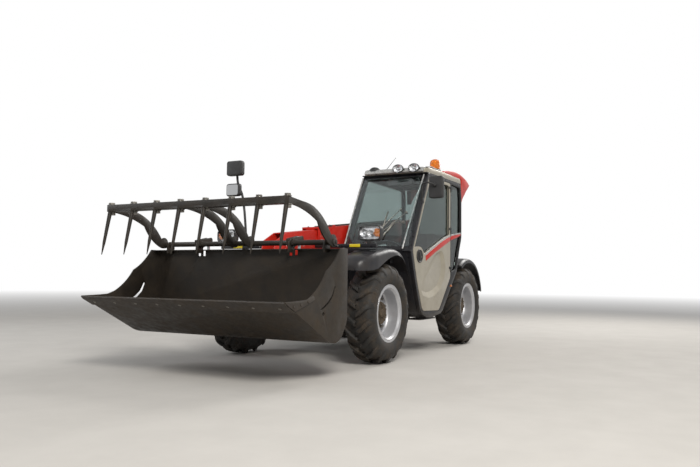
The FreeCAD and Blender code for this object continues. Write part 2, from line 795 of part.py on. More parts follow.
def make_cab():
    outer = size.cab_outer
    inner = size.cab_inner
    wall_y = size.cab_wall
    quarter = soften([
        (post_x - 40, up(500)),
        (post_x - 40, up(size.cab_height) - 50),
        (cab_rear + 30, up(size.cab_height) - 60),
        (cab_rear - 8, up(size.cab_height) - 190),
        (cab_rear - 8, up(1020)),
        (cab_rear + 90, up(830)),
        (cab_rear + 190, up(555)),
    ], [30, 40, 40, 50, 50, 60, 40])
    ring = pad("LeftRing", outer - wall_y, outer, cab_outline(), door_outline(size.door_gap), quarter)
    lean = as_size(screen_lean) / (size.cab_height - size.belt_rise)
    window = soften([
        (foot[0] - 75 - lean * 30, up(size.belt_rise) + 30),
        (header[0] - 55 + lean * 30, up(size.cab_height) - 60),
        (cab_rear + 40, up(size.cab_height) - 80),
        (cab_rear + 25, up(1020)),
        (cab_rear + 130, up(size.belt_rise) + 30),
    ], [50, 50, 60, 60, 60])
    right = pad("RightRing", inner, inner + wall_y, cab_outline(), window)
    span = (inner + wall_y, outer - wall_y)
    bars = [
        pad("ScreenFoot", *span, [foot, (foot[0] - 60, foot[1]), (foot[0] - 85, foot[1] + 50),
                                  (foot[0] - 20, foot[1] + 50)]),
        pad("Header", *span, [header, (header[0] + 31, header[1] - 50), (header[0] - 45, header[1] - 50),
                              (header[0] - 70, header[1])]),
        box("RearHeader", (cab_rear - 10, cab_rear + 60), span,
            (up(size.cab_height) - 60, up(size.cab_height))),
        box("RearSill", (cab_rear - 35, cab_rear + 10), span, (up(1021), up(1075))),
    ]
    axis = (post_x - 15, outer + 15)
    for number, z in enumerate(hinge_heights):
        bars += [
            cylinder(f"PostBarrel{number}", "z", 9, up(z), up(z) + 40, axis),
            box(f"PostHinge{number}", (axis[0] - 36, axis[0]), (outer, outer + 12), (up(z), up(z) + 40)),
        ]
    node("cab_frame", fuse("CabFrame", [ring, right] + bars))
    sheet = 20
    tub = [
        foot,
        (-760, up(395)),
        (-950, up(-35)),
        (-1250, up(-122)),
        (cab_rear + 780, up(-65)),
        (cab_rear + 170, up(510)),
        (cab_rear + 50, up(845)),
        (cab_rear - 40, up(1015)),
        (cab_rear - 18, up(1021)),
        (cab_rear + 50 + sheet, up(852)),
        (cab_rear + 170 + sheet, up(519)),
        (cab_rear + 790, up(-45)),
        (-1250, up(-101)),
        (-965, up(-18)),
        (-780, up(400)),
        (foot[0] - sheet - 4, foot[1]),
    ]
    node("cab_tub", pad("CabTub", *span, soften(
        tub, [0, 90, 110, 120, 90, 60, 60, 0, 0, 60, 60, 75, 112, 90, 85, 0])))
    roof_base = up(size.cab_height)
    roof = [
        (cab_rear - 30, roof_base),
        (header[0] + 50, roof_base),
        (header[0] + 68, roof_base + 26),
        (header[0] - 30, roof_base + size.roof_thickness - 14, 150),
        (mean(header[0], cab_rear), roof_base + size.roof_thickness),
        (cab_rear + 60, roof_base + size.roof_thickness - 10),
        (cab_rear - 30, roof_base + 30, 120),
    ]
    crown = pad("RoofCrown", inner - 5, outer + 5, roof)
    plan = [
        (cab_rear - 60, inner - 5),
        (header[0] + 80, inner - 5),
        (header[0] + 80, outer + 5),
        (cab_rear - 60, outer + 5),
    ]
    edge = slab("RoofPlan", roof_base - 10, roof_base + size.roof_thickness + 10,
                soften(plan, [60, 130, 130, 60]))
    roof_item = common("CabRoof", [crown, edge])
    node("cab_roof", roof_item)
    screen = [
        (foot[0] - 18, foot[1] + 50),
        (header[0] + 35, header[1] - 50, 3200),
        (header[0] + 35 - size.glass, header[1] - 50),
        (foot[0] - 18 - size.glass, foot[1] + 50, -3200),
    ]
    node("windscreen", pad("Windscreen", inner + wall_y - 20, outer - wall_y + 20, screen))
    pane_y = outer - wall_y / 2
    side_pane = pad("QuarterPane", pane_y, pane_y + size.glass, quarter)
    right_pane = pad("RightPane", inner + wall_y / 2, inner + wall_y / 2 + size.glass, window)
    rear_pane = box("RearPane", (cab_rear - 8, cab_rear - 8 + size.glass), span,
                    (up(1075), up(size.cab_height) - 60))
    node("cab_side_glass", group("CabGlass", [side_pane, right_pane, rear_pane]))
    return roof_item


def make_door():
    outer = size.cab_outer
    outline = door_outline(0)
    lean = as_size(screen_lean) / (size.cab_height - size.belt_rise)
    glass_top = up(size.cab_height) - 88
    low_front = up(size.belt_rise) - 20
    window = soften([
        (foot[0] - 112, low_front),
        (foot[0] - 112 - lean * (size.cab_height - 68 - size.belt_rise), glass_top),
        (post_x + 42, glass_top),
        (post_x + 42, up(885)),
        (foot[0] - 470, up(770)),
        (foot[0] - 330, up(655)),
        (foot[0] - 255, up(725)),
        (foot[0] - 175, up(790)),
    ], [25, 60, 40, 40, 110, 40, 35, 45])
    axis = (post_x - 15, outer + 15)
    pieces = [pad("DoorLeafPanel", outer - size.cab_wall + size.door_gap, outer, outline, window)]
    for number, z in enumerate(hinge_heights):
        low = up(z) + 40 + size.running_gap
        pieces += [
            cylinder(f"DoorBarrel{number}", "z", 9, low, low + 40, axis),
            box(f"DoorHinge{number}", (axis[0], axis[0] + 60), (outer, outer + 12), (low, low + 40)),
        ]
    node("door_panel", fuse("DoorPanel", pieces))
    pane_y = outer - size.cab_wall / 2
    node("door_glass", pad("DoorGlass", pane_y, pane_y + size.glass, window))


def make_roof_fairing(roof_item):
    side_y = size.cab_outer + 5
    top = up(size.cab_height) + size.roof_thickness
    blade = [
        (post_x + 260, top - 12),
        (post_x + 255, top + 14),
        (post_x - 60, top + 55, 2200),
        (post_x - 260, top + 64, 1500),
        (cab_rear - 130, top + 34, 1500),
        (cab_rear - 420, top - 60, 900),
        (cab_rear - 345, top - 118),
        (cab_rear - 90, top - 140),
        (cab_rear - 45, top - 90),
        (cab_rear - 45, top - 12),
    ]
    fin = [
        (cab_rear - 45, top - 100),
        (cab_rear - 340, top - 124),
        (cab_rear - 200, top - 225, -500),
        (cab_rear - 55, top - 360, -500),
    ]
    crown = pad("Crown", size.cab_inner + 60, side_y, blade)
    fins = [
        pad("FinLeft", side_y - 70, side_y, fin),
        pad("FinRight", size.cab_inner + 60, size.cab_inner + 130, fin),
    ]
    fairing = cut("RoofFairing", fuse("FairingSet", [crown] + fins), roof_item)
    node("roof_fairing", fairing)
    return fairing


def make_cab_interior():
    seat_x = cab_rear + 595
    middle = mean(size.cab_inner, size.cab_outer)
    slope_low = (cab_rear + 790, up(-45))
    slope_high = (cab_rear + 190, up(519))
    base = pad("SeatBase", middle - 190, middle + 190, [
        along(slope_low, slope_high, 0.66), along(slope_low, slope_high, 0.14),
        (seat_x + 160, up(420)), (seat_x - 190, up(420))])
    cushion = pad("Cushion", middle - 240, middle + 240, soften(
        [(seat_x - 230, up(420)), (seat_x + 270, up(420)), (seat_x + 270, up(530)), (seat_x - 230, up(530))],
        [0, 30, 45, 0]))
    back = pad("Backrest", middle - 230, middle + 230, soften(
        [(seat_x - 120, up(530)), (seat_x - 230, up(530)), (seat_x - 310, up(1080)), (seat_x - 215, up(1110))],
        [0, 0, 40, 40]))
    node("seat", fuse("Seat", [base, cushion, back]))
    dash_x = foot[0] - 130
    dash = pad("Dash", size.cab_inner + size.cab_wall, size.cab_outer - size.cab_wall, [
        (dash_x - 50, up(560)), (dash_x - 200, up(560)), (dash_x - 210, up(640)), (dash_x - 60, up(760)),
        (dash_x + 60, up(700)), (dash_x + 20, up(640))])
    column_frame = frame_at((dash_x - 150, up(600)), Size(-125, "(-125) * 1 deg"))
    column = turned("Column", column_frame, middle, [(0, 0), (260, 0), (260, 35), (0, 35)])
    hub = turned("WheelHub", column_frame, middle, [(240, 0), (275, 0), (275, 55), (240, 55)])
    ring = turned("WheelRing", column_frame, middle,
                  [(235, 165), (235, 190), (262, 190), (262, 165)])
    spoke = pad("Spoke", middle - 172, middle + 172, [(248, -16), (262, -16), (262, 16), (248, 16)],
                frame=column_frame)
    spokes = pad("SpokeCross", middle - 16, middle + 16,
                 [(248, -172), (262, -172), (262, 172), (248, 172)], frame=column_frame)
    node("dash_and_wheel", fuse("DashWheel", [dash, column, hub, ring, spoke, spokes]))


# Fenders, hood and lamps

def make_fenders():
    y_low = wheel_y - size.tyre_width / 2 - 15
    y_high = wheel_y + size.tyre_width / 2 - 5
    crown_z = up(tyre_radius + size.fender_gap)
    skin = size.fender_sheet
    path = [
        (800, axle_z + 545),
        (765, crown_z + 60),
        (380, crown_z + 125),
        (-80, crown_z + 140),
        (-346, crown_z + 55),
        (-540, axle_z + 530),
    ]
    inside = [
        (-540 + skin, axle_z + 524),
        (-340, crown_z + 55 - skin),
        (-78, crown_z + 140 - skin),
        (374, crown_z + 125 - skin),
        (750, crown_z + 60 - skin),
        (800 - skin, axle_z + 545),
    ]
    crown = soften(path + inside, [0, 110, 150, 130, 90, 0, 0, 84, 126, 146, 100, 0])
    lip = soften(path + [
        (-500, axle_z + 520),
        (-377, axle_z + 630),
        (-226, axle_z + 712),
        (0, axle_z + 693),
        (272, axle_z + 590),
        (475, axle_z + 512),
        (740, axle_z + 482),
    ], [0, 110, 150, 130, 90, 0, 0, 50, 60, 60, 60, 60, 40])
    front = fuse("FrontFender", [
        pad("FrontCrown", y_low, y_high, crown),
        pad("FrontLip", y_high - skin, y_high, lip),
    ])
    front_right = mirrored("FrontCrownRight", front)
    node("front_fenders", group("FrontFenders", [front, front_right]))
    inner_radius = tyre_radius + size.rear_fender_gap
    outer_radius = inner_radius + skin
    start, end = math.radians(62), math.radians(164)

    def at(radius, angle):
        return (rear_x + radius * math.cos(angle), up(radius * math.sin(angle)))

    half_angle = (start + end) / 2
    arch = [
        at(inner_radius, start) + (-inner_radius,),
        at(outer_radius, start),
        at(outer_radius, half_angle) + (outer_radius,),
        at(outer_radius, end) + (outer_radius,),
        at(inner_radius, end),
        at(inner_radius, half_angle) + (-inner_radius,),
    ]
    rim_radius = outer_radius - 55
    lip = [
        at(rim_radius, start) + (-rim_radius,),
        at(outer_radius, start),
        at(outer_radius, half_angle) + (outer_radius,),
        at(outer_radius, end) + (outer_radius,),
        at(rim_radius, end),
        at(rim_radius, half_angle) + (-rim_radius,),
    ]
    rear = fuse("RearArch", [
        pad("RearSkin", wheel_y - 235, wheel_y + 85, arch),
        pad("RearLip", wheel_y + 85, wheel_y + 85 + skin, lip),
    ])
    stay_z = up(outer_radius) - 8
    stay = box("RearStay", (rear_x - 60, rear_x), (size.frame_half + size.frame_plate, wheel_y - 100),
               (stay_z, stay_z + 30))
    rear_full = fuse("RearFender", [rear, stay])
    node("rear_fenders", group("RearFenders", [rear_full, mirrored("RearFenderRight", rear_full)]))
    return front, front_right


def make_hood():
    front = -size.hood_front
    back = rear_x + size.hood_back
    low = axle_z - size.hood_base
    split = up(size.hood_split)
    skin = size.hood_skin
    outer = -size.hood_outer
    inner = -size.hood_inner
    gap = 6
    floor = box("BayFloor", (back, front), (outer, inner), (low, low + skin))
    side = box("BaySide", (back, front), (outer, outer + skin), (low, split - gap))
    far = box("BayInner", (back, front), (inner - skin, inner), (low, split - gap))
    front_wall = box("BayFront", (front - skin, front), (outer, inner), (low, split - gap))
    back_wall = box("BayBack", (back, back + skin), (outer, inner), (low, split - gap))
    post = box("HingePost", (back, front), (inner - skin, inner), (split - gap, up(size.hood_top) - 45))
    lid_inner = inner - skin - gap
    top = up(size.hood_top)
    axis = (inner - 7, top + 8)
    bay_hinges = []
    lid_hinges = []
    for number, x in enumerate((back + 190, front - 250)):
        bay_hinges += [
            box(f"BayLeaf{number}", (x, x + 60), (inner - skin, inner), (top - 60, top + 8)),
            cylinder(f"BayBarrel{number}", "x", 10, x, x + 60, axis),
        ]
        lid_x = x + 60 + size.running_gap
        lid_hinges += [
            box(f"LidLeaf{number}", (lid_x, lid_x + 60), (lid_inner - 30, axis[0]), (top - skin, top + 8)),
            cylinder(f"LidBarrel{number}", "x", 10, lid_x, lid_x + 60, axis),
        ]
    node("engine_bay", fuse("EngineBay", [floor, side, far, front_wall, back_wall, post] + bay_hinges))
    shell = [
        (outer, split),
        (outer + skin, split),
        (outer + skin, top - 110),
        (outer + 110, top - skin, -96),
        (lid_inner, top - skin),
        (lid_inner, top),
        (outer + 110, top),
        (outer, top - 110, 110),
    ]
    skin_body = wall("LidShell", back, front, shell)
    end_profile = [
        (outer, split),
        (lid_inner, split),
        (lid_inner, top - skin),
        (lid_inner, top),
        (outer + 110, top),
        (outer, top - 110, 110),
    ]
    front_end = wall("LidFront", front - skin, front, end_profile)
    back_end = wall("LidBack", back, back + skin, end_profile)
    node("hood_lid", fuse("HoodLid", [skin_body, front_end, back_end] + lid_hinges))
    pipe_y = -size.hood_inner - 110
    elbow = box("ExhaustFoot", (back - 90, back), (pipe_y - 40, pipe_y + 40), (split - 120, split - 40))
    pipe = cylinder("ExhaustPipe", "z", 38, split - 80, up(1060), (back - 55, pipe_y))
    muffler = cylinder("ExhaustCan", "z", 48, split - 20, up(820), (back - 55, pipe_y))
    node("exhaust", fuse("Exhaust", [elbow, pipe, muffler]))


def rounded_case(name, xs, ys, zs, radius):
    """Block seen along x as a rectangle with rounded corners."""
    corners = [(ys[0], zs[0]), (ys[1], zs[0]), (ys[1], zs[1]), (ys[0], zs[1])]
    return wall(name, xs[0], xs[1], soften(corners, [radius] * 4))


def make_lamps(crowns, roof_item, fairing):
    bar_x = (285, 325)
    bar_z = up(785)
    lamp_y = wheel_y + 35
    bars = []
    lamps = []
    bar_low = bar_z - 50
    for side, sign in (("Left", 1), ("Right", -1)):
        def across(low, high):
            pair = (as_size(low) * sign, as_size(high) * sign)
            return pair if sign > 0 else (pair[1], pair[0])

        crown_z = up(tyre_radius + size.fender_gap)
        bars.append(box("LampRail" + side, bar_x, across(wheel_y - 220, wheel_y + 130), (bar_low, bar_z)))
        bars.append(box("LampLeg" + side, (290, 320), across(wheel_y - 120, wheel_y - 60),
                        (crown_z + 92, bar_low)))
        bars.append(box("LampFoot" + side, (290, 320), across(lamp_y - 25, lamp_y + 25), (bar_z, bar_z + 25)))
        lamps.append(rounded_case("Headlamp" + side, (255, 345), across(lamp_y - 145, lamp_y + 145),
                                  (bar_z + 25, bar_z + 200), 38))
    rails = [
        cut("LampRailLeftFitted", fuse("LampRailLeftSet", bars[:3]), crowns[0]),
        cut("LampRailRightFitted", fuse("LampRailRightSet", bars[3:]), crowns[1]),
    ]
    node("lamp_rails", group("LampRails", rails))
    node("headlamps", group("Headlamps", lamps))
    roof_z = up(size.cab_height) + size.roof_thickness
    front_x = header[0] + 30
    work = []
    for number, y in enumerate((size.cab_outer - 166, size.cab_outer - 396, size.cab_inner + 166)):
        foot_z = up(size.cab_height) + 35
        can = cylinder(f"WorkCan{number}", "x", 62, front_x - 35, front_x + 40, (y, roof_z + 28))
        stem = box(f"WorkStem{number}", (front_x - 20, front_x + 5), (y - 15, y + 15),
                   (foot_z, roof_z + 10))
        work.append(cut(f"WorkFitted{number}", fuse(f"WorkLamp{number}", [can, stem]), roof_item))
    node("work_lamps", group("WorkLamps", work))
    beacon_x = mean(header[0], cab_rear)
    base = cylinder("BeaconBase", "z", 68, roof_z - 4, roof_z + 35, (beacon_x, size.cab_outer - 110))
    dome = cylinder("BeaconDome", "z", 60, roof_z + 35, roof_z + 165, (beacon_x, size.cab_outer - 110))
    on_roof = cut("BeaconOnRoof", fuse("BeaconSet", [base, dome]), roof_item)
    node("beacon", cut("Beacon", on_roof, fairing))


def make_mirrors(crown):
    edge = size.mirror_reach
    width = 195
    left_x = -985
    housing = rounded_case("LeftMirror", (left_x - 35, left_x + 35), (edge - width, edge),
                           (up(1465), up(1755)), 45)
    arm_x = left_x - 25
    rise = cylinder("LeftArmRise", "z", 12, up(1400), up(1800), (arm_x, size.cab_outer + 25))
    foot_bar = cylinder("LeftArmFoot", "y", 14, size.cab_outer, size.cab_outer + 25, (arm_x, up(1412)))
    top_bar = cylinder("LeftArmTop", "y", 12, size.cab_outer + 20, edge - width / 2, (arm_x, up(1790)))
    reach = box("LeftArmTip", (arm_x - 12, left_x), (edge - width / 2 - 12, edge - width / 2 + 12),
                (up(1700), up(1802)))
    left = fuse("LeftMirrorSet", [housing, rise, foot_bar, top_bar, reach])
    post_y = -wheel_y - 120
    post_foot = up(tyre_radius + size.fender_gap) + 140
    post = cylinder("MirrorPost", "z", 17, post_foot - 15, up(1990), (30, post_y))
    seat = box("PostFoot", (-20, 80), (post_y - 45, post_y + 45), (post_foot - 15, post_foot + 20))
    upper = rounded_case("RightMirrorHigh", (30, 105), (-edge, -edge + width + 145),
                         (up(1870), up(1975)), 30)
    lower = rounded_case("RightMirrorLow", (30, 100), (-edge + 60, -edge + 60 + width + 60),
                         (up(1640), up(1860)), 35)
    right = cut("RightMirrorFitted", fuse("RightMirrorSet", [post, seat, upper, lower]), crown)
    node("mirrors", group("Mirrors", [left, right]))


# Boom, carriage, bucket and grab

def boom_place(x, z):
    """A place in the sloping boom's own frame, given in the machine's frame."""
    angle = math.radians(size.boom_slope.value)
    cosine = Size(math.cos(angle), "cos(Sizes.boom_slope * 1 deg)")
    sine = Size(math.sin(angle), "sin(Sizes.boom_slope * 1 deg)")
    return (pivot[0] + cosine * x + sine * z, pivot[1] - sine * x + cosine * z)


tilt_pivot = (size.tilt_pivot_x, up(size.tilt_pivot_rise))
lift_pin_local = (2030, -260)


def ears(name, frame, y_pairs, corners, pin=None):
    """Lug plates with the same outline, and a pin stub in each."""
    pieces = []
    for number, (low, high) in enumerate(y_pairs):
        pieces.append(pad(f"{name}{number}", low, high, corners, frame=frame))
        if pin is not None:
            out = 14 if value_of(low) > 0 else -14
            far = (low, as_size(high) + out) if value_of(low) > 0 else (as_size(low) + out, high)
            pieces.append(pad(f"{name}Pin{number}", *far, [pin], frame=frame))
    return pieces


def make_outer_boom():
    half = size.boom_half_height
    side = size.boom_half_width
    wall_t = size.boom_wall
    length = size.outer_length
    hull = pad("OuterTube", -side, side, [
        (-60, -half), (length, -half), (length, half), (-60, half), (-130, half - 70, 90), (-130, -half + 70)],
        frame=boom_frame)
    hollow = pad("OuterHollow", -side + wall_t, side - wall_t,
                 rectangle(150, length + 10, -half + wall_t, half - wall_t), frame=boom_frame)
    boss = pad("PivotBoss", -size.frame_half + size.running_gap, size.frame_half - size.running_gap,
               [(0, 0, 78)], frame=boom_frame)
    bore = pad("PivotBore", -200, 200, [(0, 0, size.pivot_pin + size.running_gap)], frame=boom_frame)
    body = cut("OuterBored", fuse("OuterSolid", [cut("OuterShell", hull, hollow), boss]), bore)
    pads = []
    gap = size.running_gap
    in_h = size.inner_half_height
    in_w = size.inner_half_width
    for number, (low_z, high_z) in enumerate(((in_h + gap, half - wall_t), (-half + wall_t, -in_h - gap))):
        pads.append(pad(f"WearPad{number}", -60, 60, rectangle(length - 120, length, low_z, high_z),
                        frame=boom_frame))
    for number, (low_y, high_y) in enumerate(((in_w + gap, side - wall_t), (-side + wall_t, -in_w - gap))):
        pads.append(pad(f"SidePad{number}", low_y, high_y, rectangle(length - 120, length, -50, 50),
                        frame=boom_frame))
    x, z = lift_pin_local
    lug = ears("LiftLug", boom_frame, ((52, 72), (-72, -52)), [
        (x - 120, -half), (x - 50, z - 35), (x + 50, z - 35, 70), (x + 160, -half)], pin=(x, z, 30))
    node("outer_boom", fuse("OuterBoom", [body] + pads + lug))


def make_inner_boom():
    half = size.inner_half_height
    side = size.inner_half_width
    wall_t = size.inner_wall
    end = size.inner_length
    hull = pad("InnerTube", -side, side, rectangle(380, end, -half, half), frame=boom_frame)
    hollow = pad("InnerHollow", -side + wall_t, side - wall_t,
                 rectangle(370, end + 10, -half + wall_t, half - wall_t), frame=boom_frame)
    tube = cut("InnerShell", hull, hollow)
    x, z = tilt_local
    cheek = [
        (end - 60, half),
        (end + 480, half),
        (end + 700, half - 80),
        (x - 20, z + 110),
        (x + 70, z),
        (x - 70, z, -74),
        (x - 110, z + 70),
        (end + 560, -half),
        (end - 60, -half),
    ]
    cheeks = [
        pad("CheekLeft", side - 15, side, cheek, frame=boom_frame),
        pad("CheekRight", -side, -side + 15, cheek, frame=boom_frame),
    ]
    top = pad("HeadTop", -side, side, rectangle(end - 20, end + 480, half - 12, half), frame=boom_frame)
    boss = pad("HeadBoss", -side, side, [(x, z, 62)], frame=boom_frame)
    bore = pad("HeadBore", -side - 10, side + 10, [(x, z, 30 + size.running_gap.value)], frame=boom_frame)
    cx, cz = tilt_base_local
    pin = [pad("TiltAnchor", 42, side - wall_t, [(cx, cz, 25)], frame=boom_frame),
           pad("TiltAnchorRight", -side + wall_t, -42, [(cx, cz, 25)], frame=boom_frame)]
    head = cut("HeadBored", fuse("HeadSolid", [tube] + cheeks + [top, boss] + pin), bore)
    slot = pad("RamSlot", -64, 64, rectangle(end - 180, end + 10, -half - 5, -half + wall_t + 5),
               frame=boom_frame)
    node("inner_boom", cut("InnerBoom", head, slot))


def local_of(point):
    """A machine place given in the sloping boom's frame."""
    angle = math.radians(size.boom_slope.value)
    cosine = Size(math.cos(angle), "cos(Sizes.boom_slope * 1 deg)")
    sine = Size(math.sin(angle), "sin(Sizes.boom_slope * 1 deg)")
    dx = as_size(point[0]) - pivot[0]
    dz = as_size(point[1]) - pivot[1]
    return (cosine * dx - sine * dz, sine * dx + cosine * dz)


tilt_local = local_of(tilt_pivot)
tilt_base_local = (2968, -10)
tilt_base = boom_place(*tilt_base_local)
lift_pin = boom_place(*lift_pin_local)
tilt_pin = (tilt_pivot[0] - 127, tilt_pivot[1] + 379)
grab_pivot = (size.bucket_back_x + 60, up(size.bucket_height) + 62)
grab_base = (grab_pivot[0] - 170, grab_pivot[1] - 610)
grab_pin = (grab_pivot[0] - 160, grab_pivot[1] + 50)
grab_ram_y = 620


def make_carriage():
    x, z = tilt_pivot
    px, pz = tilt_pin
    back = (x + 80, x + 110)
    plate = box("CarriagePlate", back, (-390, 390), (z - 140, z + 500))
    side = size.inner_half_width
    arms = []
    arm = [(x + 80, z - 110), (x + 80, z + 130), (x - 10, z + 70), (x - 60, z, 75), (x + 20, z - 60, 70)]
    for number, (low, high) in enumerate(((side + 4, side + 29), (-side - 29, -side - 4))):
        arms.append(pad(f"LowArm{number}", low, high, arm))
    arms.append(cylinder("CarriagePin", "y", 30, -side - 45, side + 45, tilt_pivot))
    lever = [(x + 80, z + 140), (x + 80, z + 480), (px + 30, pz + 45), (px - 45, pz, 50),
             (px, pz - 45, 50), (x + 40, z + 140)]
    for number, (low, high) in enumerate(((42, 62), (-62, -42))):
        arms.append(pad(f"Lever{number}", low, high, lever))
        arms.append(cylinder(f"LeverPin{number}", "y", 24, *((42, 70) if low > 0 else (-70, -42)), tilt_pin))
    front = x + 110
    bucket_x = size.bucket_back_x
    hooks = []
    for y in (-340, -120, 120, 340):
        hooks.append(box(f"Hook{y + 340}", (front, bucket_x), (y - 15, y + 15), (z - 120, z + 480)))
    node("carriage", fuse("Carriage", [plate] + arms + hooks))


def make_bucket():
    lip = size.lip_reach
    back = size.bucket_back_x
    top = up(size.bucket_height)
    t = size.bucket_sheet
    half = size.bucket_half
    floor = [
        (lip, up(195)),
        (lip - 690, up(-161)),
        (lip - 885, up(-219), -420),
        (back + 60, up(-100), -230),
        (back, up(20), -210),
        (back, top),
        (back + t, top),
        (back + t, up(20)),
        (back + 60 + t, up(-100) + 5, 200),
        (lip - 885, up(-219) + t, 220),
        (lip - 690, up(-161) + t, 410),
        (lip - 10, up(195) + t),
    ]
    shell = pad("BucketShell", -half + size.bucket_side, half - size.bucket_side, floor)
    side = [
        (lip, up(195)),
        (lip - 690, up(-161)),
        (lip - 885, up(-219), -420),
        (back + 60, up(-100), -230),
        (back, up(20), -210),
        (back, top),
        (back + 150, top),
        (back + 420, up(480), 700),
        (lip - 360, up(215), 700),
        (lip, up(205)),
    ]
    left = pad("BucketSide", half - size.bucket_side, half, side)
    rim = box("BucketRim", (back, back + 70), (-half + size.bucket_side, half - size.bucket_side),
              (top - 12, top))
    lugs = []
    for number, y in enumerate((-1050, -620, 620, 1050)):
        lug = [(back + 5, top - 40), (back + 5, top + 10), (grab_pivot[0] - 45, grab_pivot[1], -60),
               (grab_pivot[0] + 45, grab_pivot[1], -48), (back + 110, top - 5), (back + 110, top - 40)]
        lugs.append(pad(f"GrabLug{number}", y - 12, y + 12, lug))
    for number, y in enumerate((-grab_ram_y, grab_ram_y)):
        for shift in (-34, 34):
            gx, gz = grab_base
            base_lug = [(back, gz - 60), (back, gz + 90), (gx - 20, gz + 30), (gx - 20, gz - 30, 36)]
            lugs.append(pad(f"RamLug{number}{shift + 34}", y + shift - 8, y + shift + 8, base_lug))
    solid = fuse("BucketSolid", [shell, left, mirrored("BucketSideRight", left), rim] + lugs)
    openings = [cylinder("GrabBore", "y", 28.3, -1100, 1100, grab_pivot)]
    for number, y in enumerate((-grab_ram_y, grab_ram_y)):
        for side, (near, far) in enumerate(((y - 52, y - 16), (y + 16, y + 52))):
            openings.append(box(f"LeverNotch{number}{side}", (back - 10, back + 80), (near, far),
                                (top - 70, top + 10)))
    node("bucket", cut("Bucket", solid, fuse("BucketOpenings", openings)))


def make_grab():
    x, z = grab_pivot
    half = size.grab_half
    bar_x = size.grab_bar_x
    bar_z = up(size.grab_bar_rise)
    tube = cylinder("TorqueTube", "y", 28, -half, half, grab_pivot)
    plate = [
        (x - 40, z - 30),
        (x + 60, z - 40, 140),
        (x + 330, z + 190, 520),
        (bar_x, bar_z, -1250),
        (bar_x, bar_z + 72),
        (bar_x - 260, bar_z + 45),
        (x + 420, z + 330, 900),
        (x + 60, z + 60, 700),
        (x - 40, z + 40, 60),
    ]
    arms = []
    for number, (low, high) in enumerate(((half - 15, half), (-half, -half + 15), (-120, -105), (105, 120))):
        arms.append(pad(f"GrabArm{number}", low, high, plate))
    bar = box("GrabBar", (bar_x - 90, bar_x), (-half + 15, half - 15), (bar_z, bar_z + 72))
    levers = []
    px, pz = grab_pin
    for number, y in enumerate((-grab_ram_y, grab_ram_y)):
        for shift in (-34, 34):
            lever = [(x + 35, z - 20), (x + 30, z + 45), (px, pz + 32), (px, pz - 32, 34), (x - 20, z - 40)]
            levers.append(pad(f"GrabLever{number}{shift + 34}", y + shift - 8, y + shift + 8, lever))
    tines = []
    for number in range(8):
        y = size.tine_pitch * (number - 3.5)
        tine_frame = frame_at((bar_x - 40, bar_z + 90), Size(78, "78 * 1 deg"))
        tines.append(turned(f"Tine{number}", tine_frame, y, [
            (0, 0), (0, 26), (95, 26), (100, size.tine_radius), (430, size.tine_radius * 0.7), (560, 4), (560, 0)]))
    node("grab", fuse("Grab", [tube] + arms + [bar] + levers + tines))


# Rams: each is a barrel with its rod, drawn in a frame whose x axis runs along the ram

def make_ram(name, base, pin, y_list, bore, rod, eye, eye_width, neck, front, piston):
    """Barrel from the base eye to front, rod from the piston to the pin's eye."""
    plug = neck + 10
    cap = front - 24
    frame = frame_at(base, slope_between(base, pin))
    reach = distance(base, pin)
    outer = bore + 12
    gap = size.running_gap
    barrels = []
    rods = []
    for number, y in enumerate(y_list):
        tag = name + str(number)
        tube = turned("Barrel" + tag, frame, y, [
            (eye - 8, 0), (eye - 8, eye_width - 6), (neck, eye_width - 6), (neck, outer), (front, outer),
            (front, rod + gap), (cap, rod + gap), (cap, bore), (plug, bore), (plug, 0)])
        base_eye = pad("BaseEye" + tag, y - eye_width, y + eye_width, [(0, 0, eye)], frame=frame)
        barrels.append(fuse("BarrelSet" + tag, [tube, base_eye]))
        stem = turned("Stem" + tag, frame, y, [
            (piston, 0), (piston, bore - gap), (piston + 24, bore - gap), (piston + 24, rod),
            (reach - eye + 8, rod), (reach - eye + 8, 0)])
        rod_eye = pad("RodEye" + tag, y - eye_width, y + eye_width, [(reach, 0, eye)], frame=frame)
        rods.append(fuse("RodSet" + tag, [stem, rod_eye]))
    if len(y_list) == 1:
        node(name + "_barrel", barrels[0])
        node(name + "_rod", rods[0])
    else:
        node(name + "_barrels", group("Barrels" + name, barrels))
        node(name + "_rods", group("Rods" + name, rods))


def make_rams():
    make_ram("lift_ram", lift_base, lift_pin, [0], 56, 36, 46, 51.7, 96, 1402, 201)
    make_ram("tilt_ram", tilt_base, tilt_pin, [0], 40, 26, 40, 41.7, 70, 950, 175)
    make_ram("grab_ram", grab_base, grab_pin, [-grab_ram_y, grab_ram_y], 26, 16, 28, 25.7, 55, 470, 205)


make_wheels()
make_knuckles()
make_axles()
front_crowns = make_fenders()
make_chassis(front_crowns)
make_tail()
make_engine()
make_driveline()
cab_roof = make_cab()
make_door()
fairing = make_roof_fairing(cab_roof)
make_cab_interior()
make_hood()
make_lamps(front_crowns, cab_roof, fairing)
make_mirrors(front_crowns[1])
make_outer_boom()
make_inner_boom()
make_carriage()
make_bucket()
make_grab()
make_rams()
doc.recompute()

failed = [item.Label for item in doc.Objects if "Invalid" in item.State or "Error" in item.State]
if failed:
    raise RuntimeError(f"these failed to build: {failed}")
for item in nodes:
    if item.Shape.isNull() or not item.Shape.isValid() or not item.Shape.Solids:
        raise RuntimeError(f"{item.Label} has no valid shape")
for item in nodes:
    item.Shape.exportStep(f"parts/{item.Label}.step")
print(len(nodes), "sub-parts written")
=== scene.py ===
import json
import math

import bpy
from mathutils import Matrix, Vector

